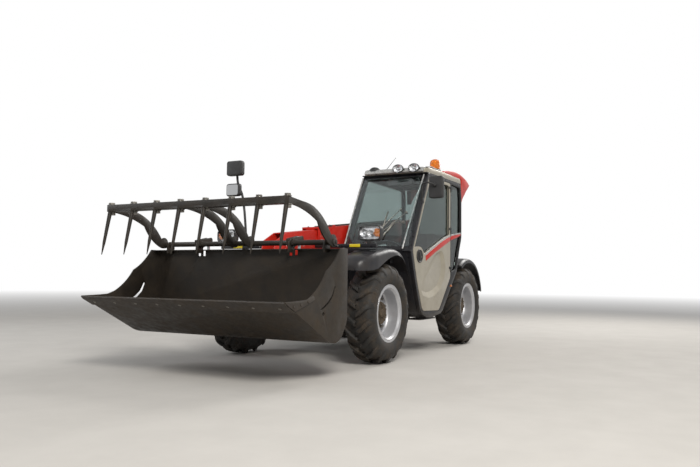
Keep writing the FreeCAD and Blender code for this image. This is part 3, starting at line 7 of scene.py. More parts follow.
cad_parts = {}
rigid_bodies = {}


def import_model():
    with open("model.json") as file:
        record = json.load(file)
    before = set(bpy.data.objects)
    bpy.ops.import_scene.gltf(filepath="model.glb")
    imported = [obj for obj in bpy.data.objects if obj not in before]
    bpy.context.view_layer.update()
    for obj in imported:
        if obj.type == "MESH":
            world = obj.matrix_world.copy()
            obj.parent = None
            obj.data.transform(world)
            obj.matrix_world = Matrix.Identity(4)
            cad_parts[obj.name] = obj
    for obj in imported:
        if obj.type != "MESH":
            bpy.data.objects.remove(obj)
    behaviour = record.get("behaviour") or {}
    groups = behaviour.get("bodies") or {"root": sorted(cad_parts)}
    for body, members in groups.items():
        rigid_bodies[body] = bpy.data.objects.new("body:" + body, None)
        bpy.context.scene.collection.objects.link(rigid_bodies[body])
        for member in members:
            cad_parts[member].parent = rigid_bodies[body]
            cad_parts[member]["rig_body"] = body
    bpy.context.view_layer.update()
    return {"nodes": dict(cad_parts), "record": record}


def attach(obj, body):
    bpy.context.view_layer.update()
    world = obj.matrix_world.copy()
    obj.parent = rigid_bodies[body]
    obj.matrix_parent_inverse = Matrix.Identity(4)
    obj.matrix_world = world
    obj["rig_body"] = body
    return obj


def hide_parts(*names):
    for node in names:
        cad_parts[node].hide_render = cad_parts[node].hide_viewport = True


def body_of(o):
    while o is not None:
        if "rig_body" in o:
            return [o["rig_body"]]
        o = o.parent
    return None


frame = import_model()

nodes = frame["nodes"]
axleShift = 0.6025  # the front axle lies this far ahead of the object's middle
axleHeight = 0.585
rearAxle = -2.815


def spot(x, y, z):
    # a place given from the front axle, on the ground
    return Vector((x + axleShift, y, z))


# hand tools

def only(*pieces):
    bpy.ops.object.select_all(action="DESELECT")
    for piece in pieces:
        piece.select_set(True)
    bpy.context.view_layer.objects.active = pieces[0]


def editing(piece, kind="VERT", everything=True):
    only(piece)
    bpy.ops.object.mode_set(mode="EDIT")
    bpy.ops.mesh.select_mode(type=kind)
    bpy.ops.mesh.select_all(action="SELECT" if everything else "DESELECT")


def doneEditing():
    bpy.ops.object.mode_set(mode="OBJECT")


def freeze(piece):
    only(piece)
    bpy.ops.object.transform_apply(location=True, rotation=True, scale=True)


def pickFaces(piece, wanted):
    # leaves the piece in edit mode with only the wanted faces selected
    editing(piece, "FACE", everything=False)
    doneEditing()
    for face in piece.data.polygons:
        face.select = bool(wanted(face))
    bpy.ops.object.mode_set(mode="EDIT")


def cleanShell(piece):
    editing(piece)
    bpy.ops.mesh.remove_doubles(threshold=0.00005)
    bpy.ops.mesh.dissolve_degenerate(threshold=0.00002)
    bpy.ops.mesh.delete_loose()
    bpy.ops.mesh.select_all(action="SELECT")
    bpy.ops.mesh.normals_make_consistent(inside=False)
    doneEditing()


def block(name, low, high, edge=0.0, steps=2):
    low, high = Vector(low), Vector(high)
    bpy.ops.object.select_all(action="DESELECT")
    bpy.ops.mesh.primitive_cube_add(size=1, location=(low + high) / 2, scale=high - low)
    piece = bpy.context.object
    piece.name = name
    freeze(piece)
    if edge:
        editing(piece, "EDGE")
        bpy.ops.mesh.bevel(offset=edge, segments=steps, affect="EDGES")
        doneEditing()
    return piece


def rod(name, start, end, radius, sides=24, edge=0.0, top=None):
    start, end = Vector(start), Vector(end)
    line = end - start
    bpy.ops.object.select_all(action="DESELECT")
    bpy.ops.mesh.primitive_cone_add(vertices=sides, radius1=radius, radius2=radius if top is None else top,
                                    depth=line.length, location=(start + end) / 2,
                                    rotation=line.to_track_quat("Z", "Y").to_euler())
    piece = bpy.context.object
    piece.name = name
    freeze(piece)
    if edge:
        pickFaces(piece, lambda face: len(face.vertices) > 4)
        bpy.ops.mesh.bevel(offset=edge, segments=2, affect="EDGES")
        doneEditing()
    return piece


turnedPlace = {
    "x": lambda a, b, depth: (depth, a, b),
    "y": lambda a, b, depth: (a, depth, b),
    "z": lambda a, b, depth: (a, b, depth),
}


def plate(name, outline, axis, near, far, edge=0.0, steps=2):
    # a flat outline with thickness along one axis; a and b are the other two, in order
    bpy.ops.object.select_all(action="DESELECT")
    bpy.ops.mesh.primitive_circle_add(vertices=len(outline), fill_type="NGON")
    piece = bpy.context.object
    piece.name = name
    for vertex, (a, b) in zip(piece.data.vertices, outline):
        vertex.co = Vector(turnedPlace[axis](a, b, near)) + Vector((axleShift, 0, 0))
    editing(piece, "FACE")
    step = Vector(turnedPlace[axis](0, 0, far - near))
    bpy.ops.mesh.extrude_region_move(TRANSFORM_OT_translate={"value": step})
    bpy.ops.mesh.select_all(action="SELECT")
    bpy.ops.mesh.normals_make_consistent(inside=False)
    doneEditing()
    if edge:
        pickFaces(piece, lambda face: len(face.vertices) == len(outline)
                  and abs(face.normal["xyz".index(axis)]) > 0.9)
        bpy.ops.mesh.bevel(offset=edge, segments=steps, affect="EDGES")
        doneEditing()
    return piece


def lathe(name, profile, centre, axis=(0, 1, 0), steps=48):
    # profile: closed list of (along the axis, radius)
    axis = Vector(axis).normalized()
    side = Vector((0, 0, 1)) if abs(axis.z) < 0.9 else Vector((1, 0, 0))
    side = (side - axis * side.dot(axis)).normalized()
    bpy.ops.object.select_all(action="DESELECT")
    bpy.ops.mesh.primitive_circle_add(vertices=len(profile), fill_type="NOTHING")
    piece = bpy.context.object
    piece.name = name
    for vertex, (rise, radius) in zip(piece.data.vertices, profile):
        vertex.co = Vector(centre) + axis * rise + side * radius
    editing(piece)
    bpy.ops.mesh.spin(steps=steps, angle=math.tau, center=Vector(centre), axis=axis)
    doneEditing()
    cleanShell(piece)
    return piece


def bent(name, points, radius, sides=3):
    # a round bar or hose along smooth points
    bpy.ops.object.select_all(action="DESELECT")
    bpy.ops.curve.primitive_bezier_curve_add()
    piece = bpy.context.object
    piece.name = name
    piece.matrix_world = Matrix.Identity(4)
    spline = piece.data.splines[0]
    spline.bezier_points.add(len(points) - len(spline.bezier_points))
    for knot, point in zip(spline.bezier_points, points):
        knot.co = point
        knot.handle_left_type = knot.handle_right_type = "AUTO"
    piece.data.dimensions = "3D"
    piece.data.resolution_u = 8
    piece.data.bevel_depth = radius
    piece.data.bevel_resolution = sides
    piece.data.use_fill_caps = True
    only(piece)
    bpy.ops.object.convert(target="MESH")
    piece = bpy.context.object
    cleanShell(piece)
    return piece


def twin(piece, name, matrix=None):
    only(piece)
    bpy.ops.object.duplicate(linked=False)
    copy = bpy.context.object
    copy.name = name
    if matrix is not None:
        copy.matrix_world = matrix @ copy.matrix_world
        freeze(copy)
        if matrix.determinant() < 0:
            editing(copy)
            bpy.ops.mesh.normals_make_consistent(inside=False)
            doneEditing()
    return copy


acrossMiddle = Matrix.Scale(-1, 4, (0, 1, 0))


def joined(name, pieces):
    only(*pieces)
    bpy.ops.object.join()
    piece = bpy.context.object
    piece.name = name
    return piece


def modified(piece, kind, **settings):
    only(piece)
    step = piece.modifiers.new(kind.title(), kind)
    for key, value in settings.items():
        setattr(step, key, value)
    bpy.ops.object.modifier_apply(modifier=step.name)
    return piece


def carve(piece, tool):
    modified(tool, "TRIANGULATE")
    modified(piece, "BOOLEAN", operation="DIFFERENCE", object=tool, solver="EXACT")
    bpy.data.objects.remove(tool)
    return piece


def show(piece, material, body, angle=32):
    # last step of every piece: finish, shading and body
    only(piece)
    if angle:
        bpy.ops.object.shade_smooth_by_angle(angle=math.radians(angle))
    if material is not None:
        piece.data.materials.clear()
        piece.data.materials.append(material)
    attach(piece, body)
    return piece


def rounded(low, high, radius, steps=5):
    # rectangle outline with round corners
    points = []
    for cx, cy, start in ((high[0] - radius, high[1] - radius, 0), (low[0] + radius, high[1] - radius, 90),
                          (low[0] + radius, low[1] + radius, 180), (high[0] - radius, low[1] + radius, 270)):
        for step in range(steps + 1):
            angle = math.radians(start + 90 * step / steps)
            points.append((cx + radius * math.cos(angle), cy + radius * math.sin(angle)))
    return points


def softened(corners, radius, steps=4):
    # outline with every corner rounded by a small curve; radius is one number or one a corner
    points = []
    for number, corner in enumerate(corners):
        reach = radius[number] if isinstance(radius, (list, tuple)) else radius
        here = Vector(corner)
        if not reach:
            points.append(tuple(here))
            continue
        before = here + (Vector(corners[number - 1]) - here).normalized() * reach
        after = here + (Vector(corners[(number + 1) % len(corners)]) - here).normalized() * reach
        for step in range(steps + 1):
            share = step / steps
            points.append(tuple(before * (1 - share) ** 2 + here * 2 * share * (1 - share) + after * share ** 2))
    return points


# finishes

def blank(name):
    material = bpy.data.materials.new(name)
    material.use_nodes = True
    tree = material.node_tree
    tree.nodes.clear()
    out = tree.nodes.new("ShaderNodeOutputMaterial")
    skin = tree.nodes.new("ShaderNodeBsdfPrincipled")
    tree.links.new(skin.outputs["BSDF"], out.inputs["Surface"])
    place = tree.nodes.new("ShaderNodeTexCoord").outputs["Object"]
    return material, tree, skin, place


def stretched(tree, place, scale):
    node = tree.nodes.new("ShaderNodeMapping")
    node.inputs["Scale"].default_value = scale
    tree.links.new(place, node.inputs["Vector"])
    return node.outputs["Vector"]


def noise(tree, place, scale, detail=4.0, roughness=0.55, distortion=0.0):
    node = tree.nodes.new("ShaderNodeTexNoise")
    node.inputs["Scale"].default_value = scale
    node.inputs["Detail"].default_value = detail
    node.inputs["Roughness"].default_value = roughness
    node.inputs["Distortion"].default_value = distortion
    tree.links.new(place, node.inputs["Vector"])
    return node.outputs["Fac"]


def remap(tree, value, fromLow, fromHigh, toLow, toHigh):
    node = tree.nodes.new("ShaderNodeMapRange")
    for key, number in (("From Min", fromLow), ("From Max", fromHigh), ("To Min", toLow), ("To Max", toHigh)):
        node.inputs[key].default_value = number
    tree.links.new(value, node.inputs["Value"])
    return node.outputs["Result"]


def times(tree, first, second, operation="MULTIPLY"):
    node = tree.nodes.new("ShaderNodeMath")
    node.operation = operation
    for socket, value in zip(node.inputs, (first, second)):
        if isinstance(value, (int, float)):
            socket.default_value = value
        else:
            tree.links.new(value, socket)
    return node.outputs["Value"]


def blendOf(tree, share, first, second):
    node = tree.nodes.new("ShaderNodeMix")
    node.data_type = "RGBA"
    tree.links.new(share, node.inputs["Factor"])
    for socket, value in ((node.inputs[6], first), (node.inputs[7], second)):
        if isinstance(value, tuple):
            socket.default_value = (*value, 1.0)
        else:
            tree.links.new(value, socket)
    return node.outputs[2]


def heightOf(tree, place):
    node = tree.nodes.new("ShaderNodeSeparateXYZ")
    tree.links.new(place, node.inputs["Vector"])
    return node.outputs["Z"]


def bumped(tree, skin, height, strength, distance):
    node = tree.nodes.new("ShaderNodeBump")
    node.inputs["Strength"].default_value = strength
    node.inputs["Distance"].default_value = distance
    tree.links.new(height, node.inputs["Height"])
    tree.links.new(node.outputs["Normal"], skin.inputs["Normal"])


def coated(name, colour, shade, grain=9.0, rough=(0.25, 0.45), metal=0.0, coat=0.0, peel=0.03, peelScale=220.0,
           dust=None, dustLow=0.3, dustHigh=1.5, dustMost=0.6, chips=None, shine=0.5):
    # paint or moulded plastic: two close shades, uneven gloss, fine surface, dust from the ground up, chips
    material, tree, skin, place = blank(name)
    cloud = noise(tree, place, grain, 5.0)
    look = blendOf(tree, remap(tree, cloud, 0.3, 0.7, 0.0, 1.0), colour, shade)
    gloss = remap(tree, noise(tree, place, grain * 2.7, 4.0), 0.3, 0.7, rough[0], rough[1])
    if chips:
        speck = noise(tree, place, chips[1], 8.0, 0.7)
        look = blendOf(tree, remap(tree, speck, chips[2], chips[2] + 0.03, 0.0, 1.0), look, chips[0])
    if dust:
        rise = remap(tree, heightOf(tree, place), dustLow, dustHigh, dustMost, 0.04)
        patch = remap(tree, noise(tree, place, 5.5, 8.0, 0.62), 0.38, 0.66, 0.25, 1.0)
        share = times(tree, rise, patch)
        look = blendOf(tree, share, look, dust)
        gloss = times(tree, gloss, times(tree, share, 0.6), "ADD")
    tree.links.new(look, skin.inputs["Base Color"])
    tree.links.new(gloss, skin.inputs["Roughness"])
    skin.inputs["Metallic"].default_value = metal
    skin.inputs["Coat Weight"].default_value = coat
    skin.inputs["Coat Roughness"].default_value = 0.12
    skin.inputs["Specular IOR Level"].default_value = shine
    bumped(tree, skin, noise(tree, place, peelScale, 2.0), peel, 0.002)
    return material


mudColour = (0.075, 0.052, 0.031)
dryMud = (0.20, 0.155, 0.105)
paints = {
    "red": coated("redPaint", (0.62, 0.020, 0.010), (0.54, 0.015, 0.008), rough=(0.24, 0.38), coat=0.15, shine=0.3,
                  dust=dryMud, dustLow=0.5, dustHigh=1.5, dustMost=0.30),
    "black": coated("blackPaint", (0.010, 0.011, 0.014), (0.015, 0.015, 0.018), rough=(0.22, 0.42), coat=0.1,
                    shine=0.35, dust=mudColour, dustLow=0.25, dustHigh=1.1, dustMost=0.40),
    "beige": coated("beigePaint", (0.43, 0.395, 0.315), (0.385, 0.35, 0.28), rough=(0.25, 0.38), metal=0.25,
                    coat=0.35, dust=dryMud, dustLow=0.45, dustHigh=1.2, dustMost=0.35),
    "bucket": coated("bucketPaint", (0.020, 0.018, 0.016), (0.032, 0.026, 0.020), grain=6.0, rough=(0.30, 0.5),
                     shine=0.3, dust=mudColour, dustLow=0.2, dustHigh=1.5, dustMost=0.55,
                     chips=((0.11, 0.10, 0.09), 38.0, 0.68)),
    "rim": coated("rimPaint", (0.60, 0.61, 0.64), (0.50, 0.51, 0.54), rough=(0.25, 0.42), metal=0.55, coat=0.2,
                  dust=dryMud, dustLow=0.2, dustHigh=1.1, dustMost=0.35),
    "fender": coated("fenderPlastic", (0.016, 0.018, 0.024), (0.022, 0.023, 0.028), rough=(0.26, 0.40), peel=0.10,
                     peelScale=420.0, shine=0.4, dust=dryMud, dustLow=0.9, dustHigh=1.6, dustMost=0.16),
    "dash": coated("dashPlastic", (0.020, 0.020, 0.021), (0.028, 0.028, 0.028), rough=(0.45, 0.62), peel=0.25,
                   peelScale=520.0),
    "cast": coated("castParts", (0.045, 0.038, 0.032), (0.028, 0.025, 0.023), rough=(0.5, 0.75), peel=0.3,
                   peelScale=140.0, dust=mudColour, dustLow=0.2, dustHigh=1.1, dustMost=0.85),
    "trim": coated("paleTrim", (0.50, 0.50, 0.49), (0.42, 0.42, 0.41), rough=(0.22, 0.35), metal=0.4, coat=0.3),
    "plate": coated("platePaint", (0.52, 0.52, 0.50), (0.49, 0.49, 0.47), grain=2.0, rough=(0.40, 0.48)),
    "bolt": coated("zincBolt", (0.33, 0.32, 0.30), (0.22, 0.20, 0.17), grain=60.0, rough=(0.3, 0.5), metal=0.85,
                   dust=mudColour, dustLow=0.2, dustHigh=1.6, dustMost=0.6),
    "rubber": coated("blackRubber", (0.013, 0.013, 0.013), (0.020, 0.020, 0.019), rough=(0.55, 0.75), peel=0.15),
    "yellow": coated("yellowReflector", (0.78, 0.62, 0.02), (0.70, 0.54, 0.02), grain=90.0, rough=(0.15, 0.25),
                     coat=0.6, peel=0.2, peelScale=700.0),
    "silver": coated("reflectorBowl", (0.88, 0.88, 0.88), (0.80, 0.80, 0.81), grain=30.0, rough=(0.24, 0.34),
                     metal=1.0),
    "mirror": coated("mirrorGlass", (0.85, 0.86, 0.87), (0.80, 0.81, 0.82), grain=3.0, rough=(0.02, 0.04), metal=1.0,
                     peel=0.0),
}


def muddyRubber():
    # tread rubber: nearly black with dried mud caught in patches
    material, tree, skin, place = blank("tyreRubber")
    patch = noise(tree, place, 7.0, 9.0, 0.68, 0.4)
    fine = noise(tree, place, 46.0, 6.0, 0.6)
    share = times(tree, remap(tree, patch, 0.44, 0.66, 0.05, 0.9), remap(tree, fine, 0.3, 0.65, 0.35, 1.0))
    look = blendOf(tree, share, (0.014, 0.0138, 0.0135), (0.075, 0.055, 0.037))
    tree.links.new(look, skin.inputs["Base Color"])
    tree.links.new(remap(tree, patch, 0.3, 0.7, 0.52, 0.9), skin.inputs["Roughness"])
    bumped(tree, skin, times(tree, fine, times(tree, patch, 1.4), "ADD"), 0.35, 0.006)
    return material


def hubMud():
    # thick dry mud on the middle of a wheel
    material, tree, skin, place = blank("hubMud")
    crumb = noise(tree, place, 60.0, 9.0, 0.7)
    patch = noise(tree, place, 11.0, 5.0)
    look = blendOf(tree, remap(tree, crumb, 0.3, 0.7, 0.0, 1.0), (0.040, 0.029, 0.019), (0.13, 0.096, 0.062))
    tree.links.new(look, skin.inputs["Base Color"])
    tree.links.new(remap(tree, patch, 0.3, 0.7, 0.75, 0.95), skin.inputs["Roughness"])
    bumped(tree, skin, crumb, 0.5, 0.006)
    return material


def pane(name, tint, smear):
    # window glass with a little road film low down
    material, tree, skin, place = blank(name)
    film = noise(tree, place, 6.0, 7.0, 0.6)
    rise = remap(tree, heightOf(tree, place), 1.2, 2.3, 1.0, 0.2)
    tree.links.new(remap(tree, times(tree, film, rise), 0.2, 0.6, 0.01, smear), skin.inputs["Roughness"])
    look = blendOf(tree, remap(tree, film, 0.4, 0.7, 0.0, 0.5), tint, tuple(c * 0.9 for c in tint))
    tree.links.new(look, skin.inputs["Base Color"])
    skin.inputs["Transmission Weight"].default_value = 1.0
    skin.inputs["IOR"].default_value = 1.5
    return material


def lampPlastic(name, colour, shade, clear, cell):
    # coloured lamp plastic with small moulded cells
    material, tree, skin, place = blank(name)
    look = blendOf(tree, remap(tree, noise(tree, place, 35.0, 3.0), 0.35, 0.65, 0.0, 1.0), colour, shade)
    tree.links.new(look, skin.inputs["Base Color"])
    tree.links.new(remap(tree, noise(tree, place, 20.0, 3.0), 0.3, 0.7, 0.08, 0.2), skin.inputs["Roughness"])
    cells = tree.nodes.new("ShaderNodeTexVoronoi")
    cells.inputs["Scale"].default_value = cell
    tree.links.new(place, cells.inputs["Vector"])
    bumped(tree, skin, cells.outputs["Distance"], 0.35, 0.003)
    skin.inputs["Transmission Weight"].default_value = clear
    skin.inputs["Coat Weight"].default_value = 0.6
    return material


def wovenCloth():
    # seat cover: fine woven threads with a lighter fleck
    material, tree, skin, place = blank("seatFabric")
    across = stretched(tree, place, (900.0, 260.0, 260.0))
    along = stretched(tree, place, (260.0, 900.0, 900.0))
    weave = times(tree, noise(tree, across, 1.0, 2.0), noise(tree, along, 1.0, 2.0), "ADD")
    look = blendOf(tree, remap(tree, weave, 0.75, 1.25, 0.0, 1.0), (0.020, 0.020, 0.022), (0.060, 0.060, 0.064))
    tree.links.new(look, skin.inputs["Base Color"])
    tree.links.new(remap(tree, weave, 0.7, 1.3, 0.95, 0.75), skin.inputs["Roughness"])
    skin.inputs["Sheen Weight"].default_value = 0.35
    bumped(tree, skin, weave, 0.4, 0.002)
    return material


def polished():
    # hard-chromed ram rod with a thin film of grease in rings
    material, tree, skin, place = blank("rodChrome")
    streak = noise(tree, stretched(tree, place, (6.0, 60.0, 60.0)), 1.0, 5.0)
    look = blendOf(tree, remap(tree, streak, 0.45, 0.75, 0.0, 0.7), (0.72, 0.73, 0.75), (0.36, 0.34, 0.31))
    tree.links.new(look, skin.inputs["Base Color"])
    tree.links.new(remap(tree, streak, 0.3, 0.7, 0.08, 0.3), skin.inputs["Roughness"])
    skin.inputs["Metallic"].default_value = 1.0
    return material


def heatedPipe():
    # exhaust steel, browned by heat
    material, tree, skin, place = blank("pipeSteel")
    cloud = noise(tree, place, 16.0, 6.0, 0.6)
    look = blendOf(tree, remap(tree, cloud, 0.3, 0.7, 0.0, 1.0), (0.20, 0.17, 0.15), (0.09, 0.062, 0.045))
    tree.links.new(look, skin.inputs["Base Color"])
    tree.links.new(remap(tree, cloud, 0.3, 0.7, 0.4, 0.7), skin.inputs["Roughness"])
    skin.inputs["Metallic"].default_value = 0.8
    bumped(tree, skin, noise(tree, place, 150.0, 3.0), 0.2, 0.002)
    return material


paints.update({
    "tyre": muddyRubber(),
    "hubMud": hubMud(),
    "screen": pane("screenGlass", (0.87, 0.95, 0.95), 0.06),
    # the dark tint of the side glass is painted shade: it stands in for the shaded cab seen through the windows
    "sideGlass": pane("sideGlass", (0.20, 0.245, 0.235), 0.05),
    "lens": pane("lampLens", (0.95, 0.96, 0.97), 0.04),
    "amber": lampPlastic("amberPlastic", (1.0, 0.30, 0.01), (0.90, 0.22, 0.01), 0.35, 140.0),
    "tail": lampPlastic("tailLens", (0.62, 0.012, 0.010), (0.50, 0.010, 0.008), 0.25, 160.0),
    "cloth": wovenCloth(),
    "chrome": polished(),
    "pipe": heatedPipe(),
})
print("finishes ready")

slotPaint = {
    "red_paint": "red", "black_paint": "black", "beige_paint": "beige", "bucket_paint": "bucket",
    "rim_paint": "rim", "tyre_rubber": "tyre", "clear_glass": "sideGlass", "lamp_lens": "lens",
    "amber_plastic": "amber", "tail_lens": "tail", "fender_plastic": "fender", "seat_fabric": "cloth",
    "dash_plastic": "dash", "cast_parts": "cast", "rod_chrome": "chrome", "pipe_steel": "pipe",
}
nodeSlots = {part["node"]: part["material_slot"] for part in frame["record"]["subparts"]}
for nodeName, slotName in nodeSlots.items():
    paint = paints[slotPaint[slotName]]
    if nodeName == "windscreen":
        paint = paints["screen"]
    nodes[nodeName].data.materials.clear()
    nodes[nodeName].data.materials.append(paint)
print("every packed part has its finish")


# tyres and wheels

tyre = {"bars": 18, "wheelY": 0.985, "treadRadius": 0.56, "outerRadius": 0.5849}
tyreSide = ((0.145, 0.313), (0.150, 0.338), (0.160, 0.347), (0.166, 0.356), (0.176, 0.372), (0.179, 0.384),
            (0.186, 0.398), (0.190, 0.432), (0.186, 0.470), (0.174, 0.506), (0.155, 0.530), (0.125, 0.543),
            (0.070, 0.549))
wheelCentre = spot(0, tyre["wheelY"], axleHeight)
section = list(tyreSide) + [(-y, r) for y, r in reversed(tyreSide)]
carcass = lathe("carcass", section, wheelCentre, steps=72)

# one bar: along the tread, then over the shoulder; how far round, its top and its foot
barPath = ((-0.006, 0.064, 0.585, 0.540), (0.030, 0.046, 0.585, 0.540), (0.072, 0.018, 0.584, 0.540),
           (0.112, -0.022, 0.580, 0.535), (0.142, -0.046, 0.564, 0.522), (0.166, -0.056, 0.533, 0.500),
           (0.183, -0.061, 0.498, 0.474), (0.1895, -0.064, 0.462, 0.450))
barWide = (0.024, 0.026, 0.029, 0.031, 0.032, 0.034, 0.034, 0.028)


def treadBar(name, side):
    bpy.ops.object.select_all(action="DESELECT")
    bpy.ops.mesh.primitive_grid_add(x_subdivisions=3, y_subdivisions=len(barPath) - 1, size=1)
    piece = bpy.context.object
    piece.name = name
    for number, vertex in enumerate(piece.data.vertices):
        row, column = divmod(number, 4)
        y, around, top, foot = barPath[row]
        wide = barWide[row]
        corners = ((-wide - 0.010, foot), (-wide + 0.004, top), (wide - 0.004, top), (wide + 0.010, foot))
        offset, radius = corners[column]
        if row == 0 and column in (1, 2):
            y += 0.008
        angle = (around + offset) / tyre["treadRadius"]
        reach = min(radius, tyre["outerRadius"])
        vertex.co = wheelCentre + Vector((reach * math.sin(angle), side * y, reach * math.cos(angle)))
    editing(piece, "EDGE", everything=False)
    bpy.ops.mesh.select_non_manifold()
    bpy.ops.mesh.edge_face_add()
    bpy.ops.mesh.select_all(action="SELECT")
    bpy.ops.mesh.quads_convert_to_tris()
    bpy.ops.mesh.tris_convert_to_quads()
    bpy.ops.mesh.normals_make_consistent(inside=False)
    doneEditing()
    modified(piece, "BEVEL", width=0.005, segments=2, limit_method="ANGLE", angle_limit=math.radians(38))
    return piece


def wheelTurn(degrees):
    return (Matrix.Translation(wheelCentre) @ Matrix.Rotation(math.radians(degrees), 4, "Y")
            @ Matrix.Translation(-wheelCentre))


bars = []
for side, start in ((1, 0.0), (-1, 180 / tyre["bars"])):
    firstBar = treadBar("bar", side)
    for number in range(tyre["bars"]):
        bars.append(twin(firstBar, "bar", wheelTurn(start + number * 360 / tyre["bars"])))
    bpy.data.objects.remove(firstBar)
tyreModel = joined("tyreModel", [carcass] + bars)

# silver rolled edges, wheel nuts, valve and the muddy hub
rimSteps = [(0.1475, 0.300), (0.1475, 0.333), (0.1500, 0.341), (0.1560, 0.344), (0.1615, 0.341), (0.1625, 0.334),
            (0.1590, 0.326), (0.1500, 0.315), (0.1330, 0.306), (0.1180, 0.302), (0.1150, 0.296), (0.1110, 0.288),
            (0.0900, 0.285), (0.0400, 0.2835), (0.0140, 0.280), (-0.0040, 0.272), (-0.0110, 0.262),
            (-0.0150, 0.262), (-0.0150, 0.300)]
rimModel = lathe("rimModel", rimSteps, wheelCentre, steps=72)
hub = {"nuts": 8, "nutCircle": 0.176, "capBolts": 10, "capCircle": 0.112}
hubProfile = [(-0.030, 0.001), (-0.030, 0.150), (0.006, 0.150), (0.010, 0.147), (0.012, 0.141), (0.034, 0.137),
              (0.048, 0.131), (0.055, 0.123), (0.057, 0.092), (0.052, 0.086), (0.052, 0.052), (0.066, 0.046),
              (0.071, 0.038), (0.073, 0.001)]
hubModel = lathe("hubModel", hubProfile, wheelCentre, steps=48)


def wheelPoint(angle, radius, y):
    return wheelCentre + Vector((radius * math.cos(angle), y, radius * math.sin(angle)))


hubParts = [hubModel]
for number in range(hub["capBolts"]):
    angle = math.tau * (number + 0.5) / hub["capBolts"]
    hubParts.append(rod("capBolt", wheelPoint(angle, hub["capCircle"], 0.050),
                        wheelPoint(angle, hub["capCircle"], 0.065), 0.010, sides=6, edge=0.0015))
hubModel = joined("hubModel", hubParts)
nutParts = []
for number in range(hub["nuts"]):
    angle = math.tau * number / hub["nuts"] + math.radians(22.5)
    circle = hub["nutCircle"]
    nutParts.append(rod("washer", wheelPoint(angle, circle, -0.004), wheelPoint(angle, circle, 0.006), 0.021,
                        sides=20, edge=0.001))
    nutParts.append(rod("nut", wheelPoint(angle, circle, 0.004), wheelPoint(angle, circle, 0.024), 0.0165,
                        sides=6, edge=0.002))
    nutParts.append(rod("stud", wheelPoint(angle, circle, 0.020), wheelPoint(angle, circle, 0.038), 0.009,
                        sides=12, edge=0.0015))
valve = math.radians(64)
nutParts.append(bent("valve", [wheelPoint(valve, 0.283, 0.05), wheelPoint(valve, 0.262, 0.062),
                               wheelPoint(valve, 0.250, 0.085)], 0.0045))
nutModel = joined("nutModel", nutParts)

for end, x, turned in (("front", 0.0, 4), ("rear", rearAxle, 11)):
    for side in ("left", "right"):
        move = Matrix.Translation((x, 0, 0)) @ wheelTurn(turned)
        if side == "right":
            move = acrossMiddle @ move
        where = f"{end}_{side}"
        for model, kind, paint, slot in (
                (tyreModel, "treadTyre", "tyre", "tyre_rubber"), (rimModel, "rimEdge", "rim", "rim_paint"),
                (hubModel, "hubCover", "hubMud", "cast_parts"), (nutModel, "wheelNuts", "bolt", "cast_parts")):
            piece = twin(model, f"{kind}_{where}", move)
            show(piece, paints[paint], f"wheel_{where}")
            if kind == "treadTyre":
                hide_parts(f"tyre_{where}")
for model in (tyreModel, rimModel, hubModel, nutModel):
    bpy.data.objects.remove(model)
print("wheels ready")


# door: skin with its scoop, oval handle, red strip, gaskets

faceY = 1.130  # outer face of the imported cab
door = {
    "proud": 0.0125,
    "scoop": [(-1.700, 1.395), (-1.790, 1.335), (-1.862, 1.160), (-1.806, 0.995), (-1.655, 0.850), (-1.450, 0.765),
              (-1.228, 0.735), (-1.000, 0.775), (-0.965, 0.890), (-1.060, 1.030), (-1.240, 1.190), (-1.480, 1.340)],
    "scoopFloor": [(-1.668, 1.358), (-1.735, 1.308), (-1.780, 1.165), (-1.732, 1.030), (-1.598, 0.908),
                   (-1.425, 0.836), (-1.228, 0.810), (-1.045, 0.838), (-1.020, 0.902), (-1.090, 1.022),
                   (-1.258, 1.172), (-1.478, 1.312)],
    "pad": (-0.905, 1.288), "padOval": 1.12, "hinges": (1.130, 1.690, 2.290),
}
skinY = faceY + door["proud"]
doorOutline = softened([(-0.690, 1.360), (-1.2466, 2.370), (-2.050, 2.370), (-2.050, 1.015), (-1.600, 0.560),
                        (-1.010, 0.575), (-0.830, 0.970)], [0.060, 0.070, 0.045, 0.045, 0.060, 0.070, 0.060])
doorWindow = [(-0.738, 1.398), (-0.800, 1.406), (-0.900, 1.411), (-0.975, 1.397), (-1.030, 1.352), (-1.066, 1.318),
              (-1.200, 1.366), (-1.425, 1.448), (-1.600, 1.505), (-1.745, 1.553), (-1.900, 1.597), (-1.985, 1.620),
              (-2.008, 1.640), (-2.008, 2.300), (-1.976, 2.332), (-1.300, 2.332), (-1.262, 2.312), (-1.235, 2.272)]


def tapered(name, outer, inner, outerY, innerY):
    # plug with one outline at its outer end and a smaller one at its inner end
    plug = plate(name, outer, "y", outerY, innerY)
    goals = {tuple(round(c, 5) for c in spot(x, innerY, z)): spot(goalX, innerY, goalZ)
             for (x, z), (goalX, goalZ) in zip(outer, inner)}
    for vertex in plug.data.vertices:
        goal = goals.get(tuple(round(c, 5) for c in vertex.co))
        if goal is not None:
            vertex.co = goal
    return plug


